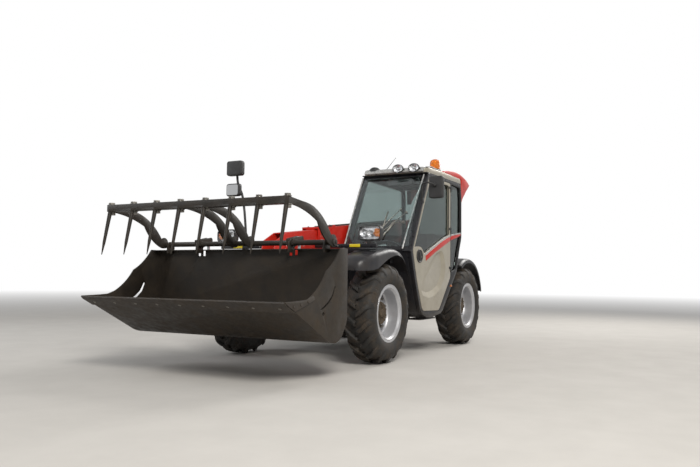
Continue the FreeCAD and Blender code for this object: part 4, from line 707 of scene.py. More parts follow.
scoopOuter = softened(door["scoop"], 0.048, 5)
scoopInner = softened(door["scoopFloor"], 0.040, 5)
doorSkin = plate("doorSkin", doorOutline, "y", faceY - 0.037, skinY)
carve(doorSkin, plate("windowTool", doorWindow, "y", faceY - 0.08, faceY + 0.08))
carve(doorSkin, tapered("scoopTool", scoopOuter, scoopInner, skinY + 0.001, faceY - 0.022))
modified(doorSkin, "BEVEL", width=0.005, segments=5, limit_method="ANGLE", angle_limit=math.radians(55))
hinges = []
for z in door["hinges"]:
    hinges.append(rod("hingeBarrel", spot(-2.065, 1.145, z + 0.0005), spot(-2.065, 1.145, z + 0.040), 0.0095,
                      sides=20, edge=0.0015))
    hinges.append(block("hingeLeaf", spot(-2.062, 1.1415, z + 0.001), spot(-2.000, 1.147, z + 0.039), edge=0.002))
    for x in (-2.040, -2.015):
        hinges.append(rod("hingeBolt", spot(x, 1.146, z + 0.020), spot(x, 1.152, z + 0.020), 0.0065, sides=6,
                          edge=0.001))
show(joined("doorHinges", hinges), paints["black"], "door")
show(doorSkin, paints["beige"], "door", 19)
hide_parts("door_panel")

padX, padZ = door["pad"]
handleRim = lathe("handleRim", [(-0.004, 0.001), (-0.004, 0.088), (0.006, 0.088), (0.010, 0.084), (0.010, 0.076),
                                (0.004, 0.070), (0.002, 0.060), (0.0015, 0.001)], spot(padX, skinY, padZ), steps=56)
for vertex in handleRim.data.vertices:
    vertex.co.x = spot(padX, 0, 0).x + (vertex.co.x - spot(padX, 0, 0).x) * door["padOval"]
show(handleRim, paints["dash"], "door")
handleLever = plate("handleLever", rounded((padX - 0.030, padZ - 0.052), (padX + 0.026, padZ + 0.052), 0.018), "y",
                    skinY - 0.002, skinY + 0.012, edge=0.004, steps=3)
show(handleLever, paints["rubber"], "door")
lockBarrel = rod("lockBarrel", spot(padX - 0.066, skinY - 0.002, padZ - 0.010),
                 spot(padX - 0.066, skinY + 0.007, padZ - 0.010), 0.011, sides=20, edge=0.0015)
show(lockBarrel, paints["bolt"], "door")

strip = {"low": [(-1.124, 1.232), (-1.426, 1.343), (-1.746, 1.446), (-2.043, 1.540)],
         "high": [(-2.043, 1.594), (-1.900, 1.565), (-1.636, 1.486), (-1.322, 1.374), (-1.112, 1.296)]}
redStrip = plate("doorStrip", strip["low"] + strip["high"], "y", skinY - 0.001, skinY + 0.0035, edge=0.0015)
show(redStrip, paints["red"], "door")
stripLine = [(-1.070, 1.312), (-1.112, 1.300), (-1.322, 1.378), (-1.636, 1.490), (-1.900, 1.569), (-2.043, 1.598),
             (-2.040, 1.621), (-1.898, 1.593), (-1.742, 1.549), (-1.598, 1.501), (-1.422, 1.444), (-1.198, 1.361)]
stripEdge = plate("doorStripEdge", stripLine, "y", skinY - 0.001, skinY + 0.002, edge=0.001)
show(stripEdge, paints["trim"], "door")


def gasket(name, points, y, radius, body):
    loop = [spot(x, y, z) for x, z in points]
    bpy.ops.object.select_all(action="DESELECT")
    bpy.ops.curve.primitive_bezier_curve_add()
    piece = bpy.context.object
    piece.name = name
    piece.matrix_world = Matrix.Identity(4)
    curve = piece.data
    curve.splines.clear()
    spline = curve.splines.new("POLY")
    spline.points.add(len(loop) - 1)
    for knot, point in zip(spline.points, loop):
        knot.co = (*point, 1)
    spline.use_cyclic_u = True
    curve.dimensions = "3D"
    curve.bevel_depth = radius
    curve.bevel_resolution = 2
    only(piece)
    bpy.ops.object.convert(target="MESH")
    piece = bpy.context.object
    cleanShell(piece)
    return show(piece, paints["rubber"], body)


gasket("doorGasket", doorWindow, faceY - 0.003, 0.007, "door")
quarterWindow = softened([(-2.090, 1.085), (-2.090, 2.370), (-2.470, 2.360), (-2.508, 2.230), (-2.508, 1.605),
                          (-2.410, 1.415), (-2.310, 1.140)], [0.03, 0.04, 0.04, 0.05, 0.05, 0.06, 0.04])
gasket("quarterGasket", quarterWindow, faceY - 0.003, 0.008, "machine")

quarterStrip = plate("quarterStrip", [(-2.078, 1.552), (-2.356, 1.606), (-2.480, 1.640), (-2.505, 1.662),
                                      (-2.356, 1.646), (-2.078, 1.606)], "y", faceY - 0.001, faceY + 0.014,
                     edge=0.002)
show(quarterStrip, paints["red"], "machine")
quarterEdge = plate("quarterStripEdge", [(-2.078, 1.608), (-2.356, 1.648), (-2.506, 1.664), (-2.506, 1.686),
                                         (-2.356, 1.668), (-2.078, 1.632)], "y", faceY - 0.001, faceY + 0.011,
                    edge=0.002)
show(quarterEdge, paints["trim"], "machine")
print("door ready")

# black surround of door and quarter window, with a soft outer edge
cabOutline = softened([(-0.620, 1.360), (-0.760, 0.980), (-0.950, 0.550), (-1.250, 0.463), (-1.720, 0.520),
                       (-2.330, 1.095), (-2.450, 1.430), (-2.540, 1.600), (-2.540, 2.240), (-2.500, 2.420),
                       (-1.200, 2.420)], [0, 0.09, 0.11, 0.12, 0.09, 0.06, 0.06, 0.05, 0.06, 0, 0])
doorHole = softened([(-0.684, 1.360), (-1.2460, 2.376), (-2.056, 2.376), (-2.056, 1.015), (-1.606, 0.554),
                     (-1.004, 0.569), (-0.824, 0.970)], [0.06, 0.07, 0.045, 0.045, 0.06, 0.07, 0.06])
surround = plate("cabSurround", cabOutline, "y", faceY - 0.0008, faceY + 0.010)
carve(surround, plate("doorTool", doorHole, "y", faceY - 0.03, faceY + 0.03))
carve(surround, plate("quarterTool", quarterWindow, "y", faceY - 0.03, faceY + 0.03))
for z in door["hinges"]:
    carve(surround, block("hingeTool", spot(-2.115, faceY - 0.03, z - 0.052), spot(-2.05, faceY + 0.04, z + 0.06)))
modified(surround, "BEVEL", width=0.003, segments=2, limit_method="ANGLE", angle_limit=math.radians(60))
show(surround, paints["black"], "machine", 50)

# shining front pillars with a pale rim beside the windscreen; the left one widens towards its foot
pillarWiden, pillarTop = 0.062, 2.42
for name, near, far in (("pillarCoverLeft", 1.090, 1.146), ("pillarCoverRight", 0.166, 0.220)):
    pillar = plate(name, [(-0.604, 1.340), (-0.640, 1.390), (-0.900, 1.866), (-1.180, 2.379), (-1.196, 2.418),
                          (-1.255, 2.418), (-1.240, 2.372), (-0.690, 1.372), (-0.680, 1.336)], "y", near, far)
    for vertex in pillar.data.vertices:
        if near > 1 and vertex.co.y < 1.12:
            vertex.co.y -= pillarWiden * (pillarTop - vertex.co.z)
    modified(pillar, "BEVEL", width=0.012, segments=4, limit_method="ANGLE", angle_limit=math.radians(40))
    show(pillar, paints["black"], "machine", 50)
for name, y, widen in (("screenRimLeft", 1.094, pillarWiden), ("screenRimRight", 0.176, 0.0)):
    line = [spot(x, y - widen * (pillarTop - z), z) for x, z in
            ((-0.610, 1.372), (-0.745, 1.628), (-0.895, 1.905), (-1.045, 2.178), (-1.165, 2.388))]
    show(bent(name, line, 0.0105), paints["trim"], "machine", 60)

# roof: pale lip, black seal and a low front brow
roofSeal = block("roofSeal", spot(-2.515, 0.168, 2.408), spot(-1.150, 1.142, 2.424), edge=0.006, steps=3)
show(roofSeal, paints["rubber"], "machine")
roofBrow = plate("roofBrow", softened([(-1.150, 2.424), (-1.122, 2.432), (-1.118, 2.452), (-1.150, 2.492),
                                       (-1.230, 2.508), (-1.240, 2.490), (-1.170, 2.470)], 0.006, 3),
                 "y", 0.215, 1.095, edge=0.006, steps=3)
show(roofBrow, paints["trim"], "machine", 50)
roofRails = []
for y in (0.205, 1.105):
    roofRails.append(bent("roofRail", [spot(-1.22, y, 2.497), spot(-1.30, y, 2.514), spot(-1.60, y, 2.517),
                                       spot(-1.76, y, 2.514), spot(-1.79, y, 2.500)], 0.010))
show(joined("roofRails", roofRails), paints["black"], "machine", 60)
antenna = joined("antenna", [
    rod("antennaFoot", spot(-1.330, 0.450, 2.490), spot(-1.333, 0.460, 2.526), 0.016, sides=20, edge=0.003,
        top=0.011),
    rod("antennaStem", spot(-1.333, 0.459, 2.522), spot(-1.360, 0.583, 2.676), 0.0042, sides=10, top=0.0025),
    rod("antennaTip", spot(-1.3595, 0.5815, 2.673), spot(-1.3605, 0.586, 2.680), 0.0045, sides=10, edge=0.001)])
show(antenna, paints["rubber"], "machine")
print("cab shell ready")

# work lamps on the roof
workLamp = {"wide": 1.38, "places": ((0.972, 1), (0.738, 1), (0.340, -1)), "height": 2.482}
bowls, bezels, lenses, darkLenses = [], [], [], []
for y, face in workLamp["places"]:
    centre = spot(-1.112 if face > 0 else -1.185, y, workLamp["height"])
    forward = (face, 0, 0)
    shell = lathe("lampShell", [(-0.050, 0.001), (-0.050, 0.024), (-0.038, 0.042), (-0.014, 0.055), (0.012, 0.058),
                                (0.020, 0.058), (0.023, 0.055), (0.020, 0.052), (0.006, 0.050), (-0.006, 0.0495),
                                (-0.008, 0.001)], centre, axis=forward)
    bowl = lathe("lampBowl", [(-0.0075, 0.001), (-0.0075, 0.018), (-0.002, 0.034), (0.012, 0.049), (0.014, 0.0515),
                              (0.010, 0.0515), (-0.009, 0.028), (-0.012, 0.001)], centre, axis=forward, steps=28)
    lens = lathe("lampLens", [(0.014, 0.001), (0.014, 0.051), (0.019, 0.052), (0.024, 0.042), (0.0275, 0.024),
                              (0.0285, 0.001)], centre, axis=forward)
    bulb = rod("lampBulb", centre + Vector((-0.006 * face, 0, 0)), centre + Vector((0.010 * face, 0, 0)), 0.010,
               sides=16, edge=0.004)
    for part in (shell, bowl, lens, bulb):
        for vertex in part.data.vertices:
            vertex.co.y = y + (vertex.co.y - y) * workLamp["wide"]
    yoke = [centre + Vector(step) for step in ((-0.010, -0.080, 0.0), (-0.020, -0.076, -0.026),
                                               (-0.034, -0.040, -0.030), (-0.034, 0.040, -0.030),
                                               (-0.020, 0.076, -0.026), (-0.010, 0.080, 0.0))]
    bezels += [shell, bent("lampYoke", yoke, 0.0055),
               block("lampFoot", centre + Vector((-0.075, -0.014, -0.034)), centre + Vector((-0.022, 0.014, -0.014)),
                     edge=0.003)]
    bowls += [bowl, bulb]
    (lenses if face > 0 else darkLenses).append(lens)
workShells = show(joined("workLampShells", bezels), paints["dash"], "machine")
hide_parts("work_lamps")
show(joined("workLampBowls", bowls), paints["silver"], "machine")
show(joined("workLampLenses", lenses), paints["lens"], "machine")
show(joined("workLampBackLens", darkLenses), paints["lens"], "machine")

# beacon: black foot, ribbed amber dome with a bright core
beaconCentre = spot(-1.806, 1.002, 0.0)
foot = lathe("beaconFoot", [(2.496, 0.001), (2.496, 0.080), (2.516, 0.082), (2.532, 0.078), (2.546, 0.070),
                            (2.558, 0.066), (2.558, 0.001)], beaconCentre, axis=(0, 0, 1))
ribs = [(2.554, 0.001), (2.554, 0.073)]
for step in range(8):
    ribs += [(2.560 + step * 0.012, 0.0775), (2.566 + step * 0.012, 0.0745)]
ribs += [(2.662, 0.072), (2.678, 0.064), (2.690, 0.048), (2.698, 0.026), (2.700, 0.001)]
dome = lathe("beaconDome", ribs, beaconCentre, axis=(0, 0, 1))
core = lathe("beaconCore", [(2.560, 0.001), (2.560, 0.036), (2.590, 0.042), (2.625, 0.026), (2.650, 0.020),
                            (2.656, 0.001)], beaconCentre, axis=(0, 0, 1), steps=24)
show(foot, paints["dash"], "machine")
show(dome, paints["amber"], "machine", 25)
show(core, paints["silver"], "machine")
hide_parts("beacon")
print("roof lamps ready")

def sheet(name, rows, thick):
    # a curved shell through rows of points, with thickness going inwards
    across, down = len(rows[0]), len(rows)
    bpy.ops.object.select_all(action="DESELECT")
    bpy.ops.mesh.primitive_grid_add(x_subdivisions=across - 1, y_subdivisions=down - 1, size=1)
    piece = bpy.context.object
    piece.name = name
    order = sorted(piece.data.vertices, key=lambda v: (round(v.co.y, 4), round(v.co.x, 4)))
    for vertex, point in zip(order, [point for row in rows for point in row]):
        vertex.co = point
    cleanShell(piece)
    piece.data.update()
    middle = sum((vertex.co for vertex in piece.data.vertices), Vector()) / len(piece.data.vertices)
    outward = sum(face.area * face.normal.dot(face.center - middle) for face in piece.data.polygons)
    if outward < 0:
        editing(piece)
        bpy.ops.mesh.flip_normals()
        doneEditing()
    return modified(piece, "SOLIDIFY", thickness=thick, offset=-1.0)


def stationValue(stations, x):
    # straight steps between stations given as (x, value)
    for (x0, v0), (x1, v1) in zip(stations, stations[1:]):
        if x0 <= x <= x1 or x1 <= x <= x0:
            return v0 + (v1 - v0) * (x - x0) / (x1 - x0)
    return stations[0][1] if abs(x - stations[0][0]) < abs(x - stations[-1][0]) else stations[-1][1]


def smoothLine(points, steps):
    # Catmull-Rom through points of any size
    line = []
    for number in range(len(points) - 1):
        p0 = Vector(points[max(0, number - 1)])
        p1, p2 = Vector(points[number]), Vector(points[number + 1])
        p3 = Vector(points[min(len(points) - 1, number + 2)])
        for step in range(steps):
            t = step / steps
            line.append(0.5 * (2 * p1 + (p2 - p0) * t + (2 * p0 - 5 * p1 + 4 * p2 - p3) * t * t
                               + (3 * p1 - p0 - 3 * p2 + p3) * t * t * t))
    line.append(Vector(points[-1]))
    return line


# front fenders: bulbous nose, deep side lip in front, shallow behind
frontFender = {
    "crown": [(0.655, 1.082), (0.652, 1.130), (0.636, 1.175), (0.602, 1.213), (0.548, 1.245), (0.465, 1.272),
              (0.360, 1.298), (0.230, 1.325), (0.050, 1.352), (-0.150, 1.352), (-0.300, 1.310), (-0.400, 1.235),
              (-0.470, 1.150), (-0.530, 1.080)],
    "lip": [(0.655, 0.003), (0.652, 0.050), (0.636, 0.096), (0.602, 0.134), (0.548, 0.164), (0.465, 0.186),
            (0.360, 0.190), (0.230, 0.160), (0.050, 0.116), (-0.150, 0.078), (-0.300, 0.060), (-0.400, 0.055),
            (-0.530, 0.045)],
    "inner": [(0.655, 0.905), (0.652, 0.885), (0.636, 0.858), (0.602, 0.832), (0.548, 0.812), (0.465, 0.800),
              (-0.530, 0.800)],
    "outer": [(0.655, 1.010), (0.652, 1.035), (0.636, 1.068), (0.602, 1.102), (0.548, 1.132), (0.465, 1.154),
              (0.360, 1.168), (-0.300, 1.168), (-0.530, 1.160)],
}
shellThick = 0.007
fenders = []
for side in (1, -1):
    rows = []
    for x, z in smoothLine(frontFender["crown"], 4):
        lip, inner, outer = (stationValue(frontFender[key], x) for key in ("lip", "inner", "outer"))
        wide = outer - inner
        drop = min(lip, 0.07)
        inside = 0.045 + max(0.0, min(1.0, (x - 0.34) / 0.20)) * max(lip - 0.045, 0.0)
        inside = min(inside, max(lip, 0.004)) if x > 0.54 else inside
        step = min(0.35 * wide, 0.11)
        section = [(inner, -inside), (inner + 0.001, -0.5 * inside), (inner + 0.006, -min(0.018, 0.4 * inside)),
                   (inner + 0.24 * step, -min(0.004, 0.2 * inside)), (inner + 0.34 * wide, 0.004),
                   (inner + 0.55 * wide, 0.005), (outer - step, 0.001), (outer - 0.64 * step, -0.03 * drop),
                   (outer - 0.41 * step, -0.11 * drop), (outer - 0.20 * step, -0.30 * drop),
                   (outer - 0.07 * step, -0.62 * drop), (outer - 0.001, -drop)]
        if lip > 0.0705:
            section += [(outer, -0.5 * (lip + 0.07)), (outer, -lip)]
        else:
            section += [(outer, -drop - 0.0004), (outer, -drop - 0.0008)]
        rows.append([spot(x, side * y, z + rise) for y, rise in section])
    fenders.append(sheet("fenderShell", rows, shellThick))
    fenders.append(bent("fenderStay", [spot(0.18, side * 0.800, 1.318), spot(0.16, side * 0.760, 1.305),
                                       spot(0.14, side * 0.700, 1.270), spot(0.12, side * 0.640, 1.200)], 0.016))
frontShells = show(joined("frontFenderShells", fenders), paints["fender"], "machine", 40)
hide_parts("front_fenders")

# lamp bar: rounded bar, its bolts, yellow reflectors
barPieces = []
for side in (1, -1):
    low, high = sorted((side * 0.30, side * 1.118))
    barPieces.append(block("lampBar", spot(0.287, low, 1.350), spot(0.327, high, 1.396), edge=0.005))
reflectors, barBolts = [], []
for side in (1, -1):
    low, high = sorted((side * 0.775, side * 0.915))
    reflectors.append(block("reflector", spot(0.3265, low, 1.356), spot(0.333, high, 1.392), edge=0.003))
    for y in (0.50, 0.62):
        barBolts.append(rod("barBolt", spot(0.326, side * y, 1.373), spot(0.334, side * y, 1.373), 0.010, sides=6,
                            edge=0.001))
show(joined("barReflectors", reflectors), paints["yellow"], "machine")
show(joined("lampBars", barPieces), paints["black"], "machine")
show(joined("barBolts", barBolts), paints["bolt"], "machine")

# headlamps: rounded black case, two bowls behind a clear lens, amber corner outside
cases, headBowls, headLenses, headAmbers = [], [], [], []
for side in (1, -1):
    low, high = sorted((side * 0.888, side * 1.182))
    case = plate("headCase", rounded((low, 1.434), (high, 1.603), 0.050, 7), "x", 0.255, 0.336, edge=0.010, steps=4)
    carve(case, plate("headTool", rounded((low + 0.010, 1.444), (high - 0.010, 1.593), 0.042, 7), "x", 0.286, 0.36))
    cases.append(case)
    cases.append(block("headFoot", spot(0.285, side * 1.025 - 0.030, 1.388), spot(0.325, side * 1.025 + 0.030, 1.442),
                       edge=0.004))
    headLenses.append(plate("headLens", rounded((low + 0.0105, 1.4445), (high - 0.0105, 1.5925), 0.0415, 7),
                            "x", 0.326, 0.342, edge=0.007, steps=4))
    for y, z, radius in ((side * 0.950, 1.520, 0.047), (side * 1.040, 1.512, 0.038)):
        headBowls.append(lathe("headBowl", [(0.000, 0.001), (0.000, radius * 0.35), (0.012, radius * 0.72),
                                            (0.030, radius), (0.032, radius * 0.97), (0.016, radius * 0.62),
                                            (0.006, 0.001)], spot(0.290, y, z), axis=(1, 0, 0), steps=32))
        headBowls.append(rod("headBulb", spot(0.293, y, z), spot(0.314, y, z), 0.009, sides=14, edge=0.003))
    flatLow, flatHigh = sorted((side * 0.900, side * 1.170))
    headBowls.append(plate("headMask", rounded((flatLow, 1.446), (flatHigh, 1.591), 0.038, 6), "x", 0.286, 0.291,
                           edge=0.001))
    amberLow, amberHigh = sorted((side * 1.088, side * 1.160))
    headAmbers.append(plate("headAmber", rounded((amberLow, 1.474), (amberHigh, 1.568), 0.030, 6), "x", 0.290, 0.320,
                            edge=0.008, steps=4))
headCases = show(joined("headCases", cases), paints["dash"], "machine")
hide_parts("headlamps")
show(joined("headBowls", headBowls), paints["silver"], "machine")
show(joined("headLenses", headLenses), paints["lens"], "machine")
show(joined("headAmbers", headAmbers), paints["amber"], "machine")
print("front lamps ready")

# mirrors: left one beside the cab, right one on its post over the right wheel
mirrorPieces, mirrorGlasses = [], []


def mirrorHead(centre, wide, high, deep, glassSide, tilt=0.0):
    # soft-edged housing with its glass on one side (+1 in front, -1 behind)
    x, y, z = centre
    head = plate("mirrorHead", rounded((y - wide / 2, z - high / 2), (y + wide / 2, z + high / 2), 0.034, 6), "x",
                 x - deep / 2, x + deep / 2, edge=0.018, steps=4)
    face = x + glassSide * deep / 2
    glass = plate("mirrorGlass", rounded((y - wide / 2 + 0.016, z - high / 2 + 0.016),
                                         (y + wide / 2 - 0.016, z + high / 2 - 0.016), 0.024, 6), "x",
                  face - glassSide * 0.003, face + glassSide * 0.0025)
    if tilt:
        for piece in (head, glass):
            only(piece)
            bpy.ops.transform.rotate(value=math.radians(tilt), orient_axis="Y", center_override=spot(x, y, z))
            freeze(piece)
    mirrorPieces.append(head)
    mirrorGlasses.append(glass)


mirrorHead((-0.992, 1.340, 2.186), 0.196, 0.292, 0.062, -1)
armLine = ((-0.985, 1.132, 2.010), (-0.960, 1.150, 2.080), (-0.930, 1.158, 2.160), (-0.905, 1.178, 2.222),
           (-0.895, 1.230, 2.240), (-0.905, 1.290, 2.232), (-0.932, 1.326, 2.215))
mirrorPieces.append(bent("mirrorArm", [spot(*point) for point in armLine], 0.0125))
mirrorPieces.append(lathe("mirrorBall", [(-0.026, 0.001), (-0.022, 0.016), (-0.008, 0.026), (0.006, 0.027),
                                         (0.018, 0.020), (0.024, 0.001)], spot(-0.948, 1.330, 2.212),
                          axis=(1, 0, 0), steps=28))
mirrorPieces.append(block("mirrorClamp", spot(-1.030, 1.134, 1.990), spot(-0.970, 1.156, 2.050), edge=0.006))
mirrorHead((0.055, -1.120, 2.440), 0.250, 0.200, 0.085, -1)
mirrorHead((0.055, -1.140, 2.150), 0.215, 0.170, 0.075, 1)
postLine = ((0.030, -0.940, 1.345), (0.030, -0.945, 1.500), (0.030, -0.965, 1.750), (0.022, -1.000, 1.960),
            (0.012, -1.040, 2.100), (0.010, -1.090, 2.190), (0.010, -1.120, 2.300), (0.012, -1.120, 2.460))
mirrorPieces.append(bent("mirrorPost", [spot(*point) for point in postLine], 0.0165))
mirrorPieces.append(lathe("postFoot", [(1.338, 0.001), (1.338, 0.055), (1.352, 0.055), (1.364, 0.034), (1.400, 0.026),
                                       (1.400, 0.001)], spot(0.030, -0.940, 0.0), axis=(0, 0, 1), steps=28))
mirrorHeads = show(joined("mirrorHeads", mirrorPieces), paints["dash"], "machine", 40)
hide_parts("mirrors")
show(joined("mirrorGlasses", mirrorGlasses), paints["mirror"], "machine")

# wipers on the windscreen: two parallel rods each, and a blade
wiperPieces = []
for lines, blade in (
        (([(-0.841, 0.982, 1.855), (-0.772, 0.845, 1.728), (-0.708, 0.713, 1.614)],
          [(-0.865, 0.891, 1.897), (-0.797, 0.781, 1.775), (-0.725, 0.674, 1.643)]),
         [(-0.715, 0.690, 1.625), (-0.784, 0.702, 1.750), (-0.852, 0.714, 1.874)]),
        (([(-0.771, 0.974, 1.727), (-0.780, 0.850, 1.744), (-0.728, 0.785, 1.648), (-0.672, 0.731, 1.547)],
          [(-0.762, 0.985, 1.709), (-0.766, 0.862, 1.716), (-0.706, 0.772, 1.606)]),
         [(-0.650, 0.716, 1.503), (-0.672, 0.731, 1.547), (-0.694, 0.746, 1.590)])):
    for line in lines:
        wiperPieces.append(bent("wiperRod", [spot(*point) for point in line], 0.0058))
    wiperPieces.append(bent("wiperBlade", [spot(*point) for point in blade], 0.0095))
for place in ((-0.841, 0.982, 1.855), (-0.865, 0.891, 1.897), (-0.771, 0.974, 1.727)):
    start = spot(*place)
    wiperPieces.append(rod("wiperPivot", start + Vector((-0.024, 0, -0.013)), start + Vector((0.010, 0, 0.006)),
                           0.014, sides=20, edge=0.002))
show(joined("wipers", wiperPieces), paints["bolt"], "machine", 40)
print("mirrors and wipers ready")

# plain packed plates get a copy with broken edges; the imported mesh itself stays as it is
# the bucket's side plates also get their curved slot and round hole
bodyOf = {nodeName: body_of(part)[0] for nodeName, part in nodes.items()}


def easedCopy(nodeName, width, tools=()):
    piece = twin(nodes[nodeName], nodeName + "Edges")
    piece.parent = None
    freeze(piece)
    cleanShell(piece)
    editing(piece, "FACE")
    bpy.ops.mesh.dissolve_limited(angle_limit=math.radians(0.6))
    doneEditing()
    for tool in tools:
        carve(piece, tool)
    modified(piece, "BEVEL", width=width, segments=2, limit_method="ANGLE", angle_limit=math.radians(32))
    show(piece, nodes[nodeName].data.materials[0], bodyOf[nodeName], 34)
    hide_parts(nodeName)


edgeWidths = (
    ("frame_left", 0.003), ("frame_right", 0.003), ("frame_cross", 0.003), ("counterweight", 0.005),
    ("tow_hitch", 0.003), ("cab_frame", 0.003), ("cab_roof", 0.006), ("roof_fairing", 0.003), ("engine_bay", 0.004),
    ("hood_lid", 0.005), ("outer_boom", 0.005), ("inner_boom", 0.004), ("carriage", 0.003), ("grab", 0.0025),
    ("engine_block", 0.004), ("lift_ram_barrel", 0.002), ("tilt_ram_barrel", 0.002), ("grab_ram_barrels", 0.002),
    ("cab_tub", 0.004),
)
for nodeName, width in edgeWidths:
    easedCopy(nodeName, width)
slotShape = softened([(1.505, 0.915), (1.519, 0.885), (1.547, 0.824), (1.613, 0.766), (1.699, 0.718), (1.770, 0.697),
                      (1.800, 0.706), (1.742, 0.729), (1.657, 0.772), (1.584, 0.829), (1.549, 0.888), (1.530, 0.925)],
                     0.010, 2)
slotTools = []
for low, high in ((1.24, 1.29), (-1.29, -1.24)):
    slotTools.append(plate("slotTool", slotShape, "y", low, high))
    slotTools.append(rod("holeTool", spot(1.740, low, 0.658), spot(1.740, high, 0.658), 0.021, sides=28))
easedCopy("bucket", 0.0025, tools=slotTools)
print("edges broken")

# cab inside: padded seat, wheel, dash, console, visor, pedals

filling = {"voxel": 0.0075, "pressure": 4.0, "stiffness": 30.0, "bending": 1.2, "frames": 20, "most": 0.012}


def padPiece(piece):
    # fills a cushion by a short cloth run, with a limit on how far any point moves
    modified(piece, "REMESH", mode="VOXEL", voxel_size=filling["voxel"])
    before = [vertex.co.copy() for vertex in piece.data.vertices]
    only(piece)
    cloth = piece.modifiers.new("Filling", "CLOTH")
    cloth.settings.use_pressure = True
    cloth.settings.uniform_pressure_force = filling["pressure"]
    cloth.settings.effector_weights.gravity = 0.0
    cloth.settings.tension_stiffness = cloth.settings.compression_stiffness = filling["stiffness"]
    cloth.settings.bending_stiffness = filling["bending"]
    scene = bpy.context.scene
    for number in range(filling["frames"]):
        scene.frame_set(number + 1)
    bpy.ops.object.modifier_apply(modifier=cloth.name)
    scene.frame_set(1)
    for vertex, start in zip(piece.data.vertices, before):
        move = vertex.co - start
        if move.length > filling["most"]:
            vertex.co = start + move.normalized() * filling["most"]
    modified(piece, "SMOOTH", factor=0.6, iterations=3)


def channel(piece, axisIndex, place, width, push, face):
    # sewn channel: a shallow groove across one side, pushed in by a vector at its middle
    for vertex in piece.data.vertices:
        near = abs(vertex.co[axisIndex] - place)
        if near < width and face(vertex.co):
            vertex.co += push * (1 - near / width) ** 1.5


seatY = 0.655
cushionTop = 1.085  # points above this lie on the cushion's upper side
backFront = spot(-2.07, 0, 0).x  # points ahead of this lie on the backrest's front
lowCushion = block("seatCushion", spot(-2.105, 0.445, 1.018), spot(-1.672, 0.865, 1.104), edge=0.030, steps=4)
padPiece(lowCushion)
for y in (seatY - 0.125, seatY + 0.125):
    channel(lowCushion, 1, y, 0.014, Vector((0, 0, -0.012)), lambda place: place.z > cushionTop)
channel(lowCushion, 0, spot(-1.86, 0, 0).x, 0.012, Vector((0, 0, -0.008)),
        lambda place: place.z > cushionTop and abs(place.y - seatY) < 0.12)
backCushion = block("seatBack", spot(-2.118, 0.445, 1.135), spot(-2.040, 0.865, 1.650), edge=0.030, steps=4)
padPiece(backCushion)
for y in (seatY - 0.120, seatY + 0.120):
    channel(backCushion, 1, y, 0.014, Vector((-0.012, 0, 0)), lambda place: place.x > backFront)
for z in (1.30, 1.46):
    channel(backCushion, 2, z, 0.012, Vector((-0.008, 0, 0)),
            lambda place: place.x > backFront and abs(place.y - seatY) < 0.115)
only(backCushion)
bpy.ops.transform.rotate(value=math.radians(8.5), orient_axis="Y", center_override=spot(-2.09, seatY, 1.13))
freeze(backCushion)
for cushion in (lowCushion, backCushion):
    show(cushion, paints["cloth"], "machine", 60)
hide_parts("seat")

seatFrame = [
    block("seatPan", spot(-2.120, 0.430, 0.992), spot(-1.660, 0.880, 1.020), edge=0.010, steps=3),
    block("seatSlide", spot(-2.080, 0.480, 0.960), spot(-1.720, 0.830, 0.994), edge=0.006),
    block("seatBox", spot(-2.085, 0.470, 0.640), spot(-1.740, 0.840, 0.700), edge=0.008),
]
for step in range(6):
    grow = 0.014 if step % 2 else 0.0
    seatFrame.append(block("seatBellows", spot(-2.060 - grow, 0.500 - grow, 0.700 + step * 0.0435),
                           spot(-1.760 + grow, 0.810 + grow, 0.7445 + step * 0.0435), edge=0.012, steps=3))
for y in (0.455, 0.855):
    seatFrame.append(bent("seatArm", [spot(-2.120, y, 1.150), spot(-2.100, y, 1.265), spot(-2.020, y, 1.290),
                                      spot(-1.850, y, 1.292)], 0.016))
    seatFrame.append(block("armPad", spot(-2.060, y - 0.028, 1.296), spot(-1.800, y + 0.028, 1.326), edge=0.011,
                           steps=3))
for z in (1.00, 0.975):
    seatFrame.append(rod("seatLever", spot(-1.70, 0.88, z), spot(-1.70, 0.915, z), 0.009, sides=14, edge=0.002))
seatFrame.append(plate("seatBackPlate", softened([(-2.128, 1.120), (-2.198, 1.640), (-2.178, 1.662),
                                                  (-2.158, 1.640), (-2.092, 1.120)], 0.012, 3),
                       "y", 0.455, 0.855, edge=0.010, steps=3))
show(joined("seatFrame", seatFrame), paints["dash"], "machine", 40)

wheelAxis = Vector((-0.5736, 0, 0.8192))
columnFoot = spot(-0.900, seatY, 1.185)
ringRadius = 0.1775
circle = [(0.012 * math.sin(math.tau * step / 14), ringRadius + 0.0135 * math.cos(math.tau * step / 14))
          for step in range(14)]
steer = [lathe("wheelRing", circle, columnFoot + wheelAxis * 0.249, axis=wheelAxis, steps=64),
         lathe("wheelHub", [(0.225, 0.001), (0.225, 0.040), (0.240, 0.052), (0.262, 0.054), (0.274, 0.044),
                            (0.277, 0.001)], columnFoot, axis=wheelAxis, steps=36),
         lathe("columnTube", [(0.000, 0.001), (0.000, 0.050), (0.060, 0.046), (0.070, 0.034), (0.236, 0.032),
                              (0.236, 0.001)], columnFoot, axis=wheelAxis, steps=32)]
acrossWheel = Vector((0, 1, 0))
upWheel = Vector((0.8192, 0, 0.5736))
middle = columnFoot + wheelAxis * 0.250
for turned in (90, 210, 330):
    way = acrossWheel * math.cos(math.radians(turned)) + upWheel * math.sin(math.radians(turned))
    steer.append(bent("wheelSpoke", [middle + way * 0.040, middle + way * 0.105 - wheelAxis * 0.008,
                                     middle + way * 0.176], 0.0105))
knobAt = columnFoot + wheelAxis * 0.260 + acrossWheel * ringRadius
steer.append(rod("wheelKnob", knobAt, knobAt + wheelAxis * 0.045, 0.019, sides=24, edge=0.008))
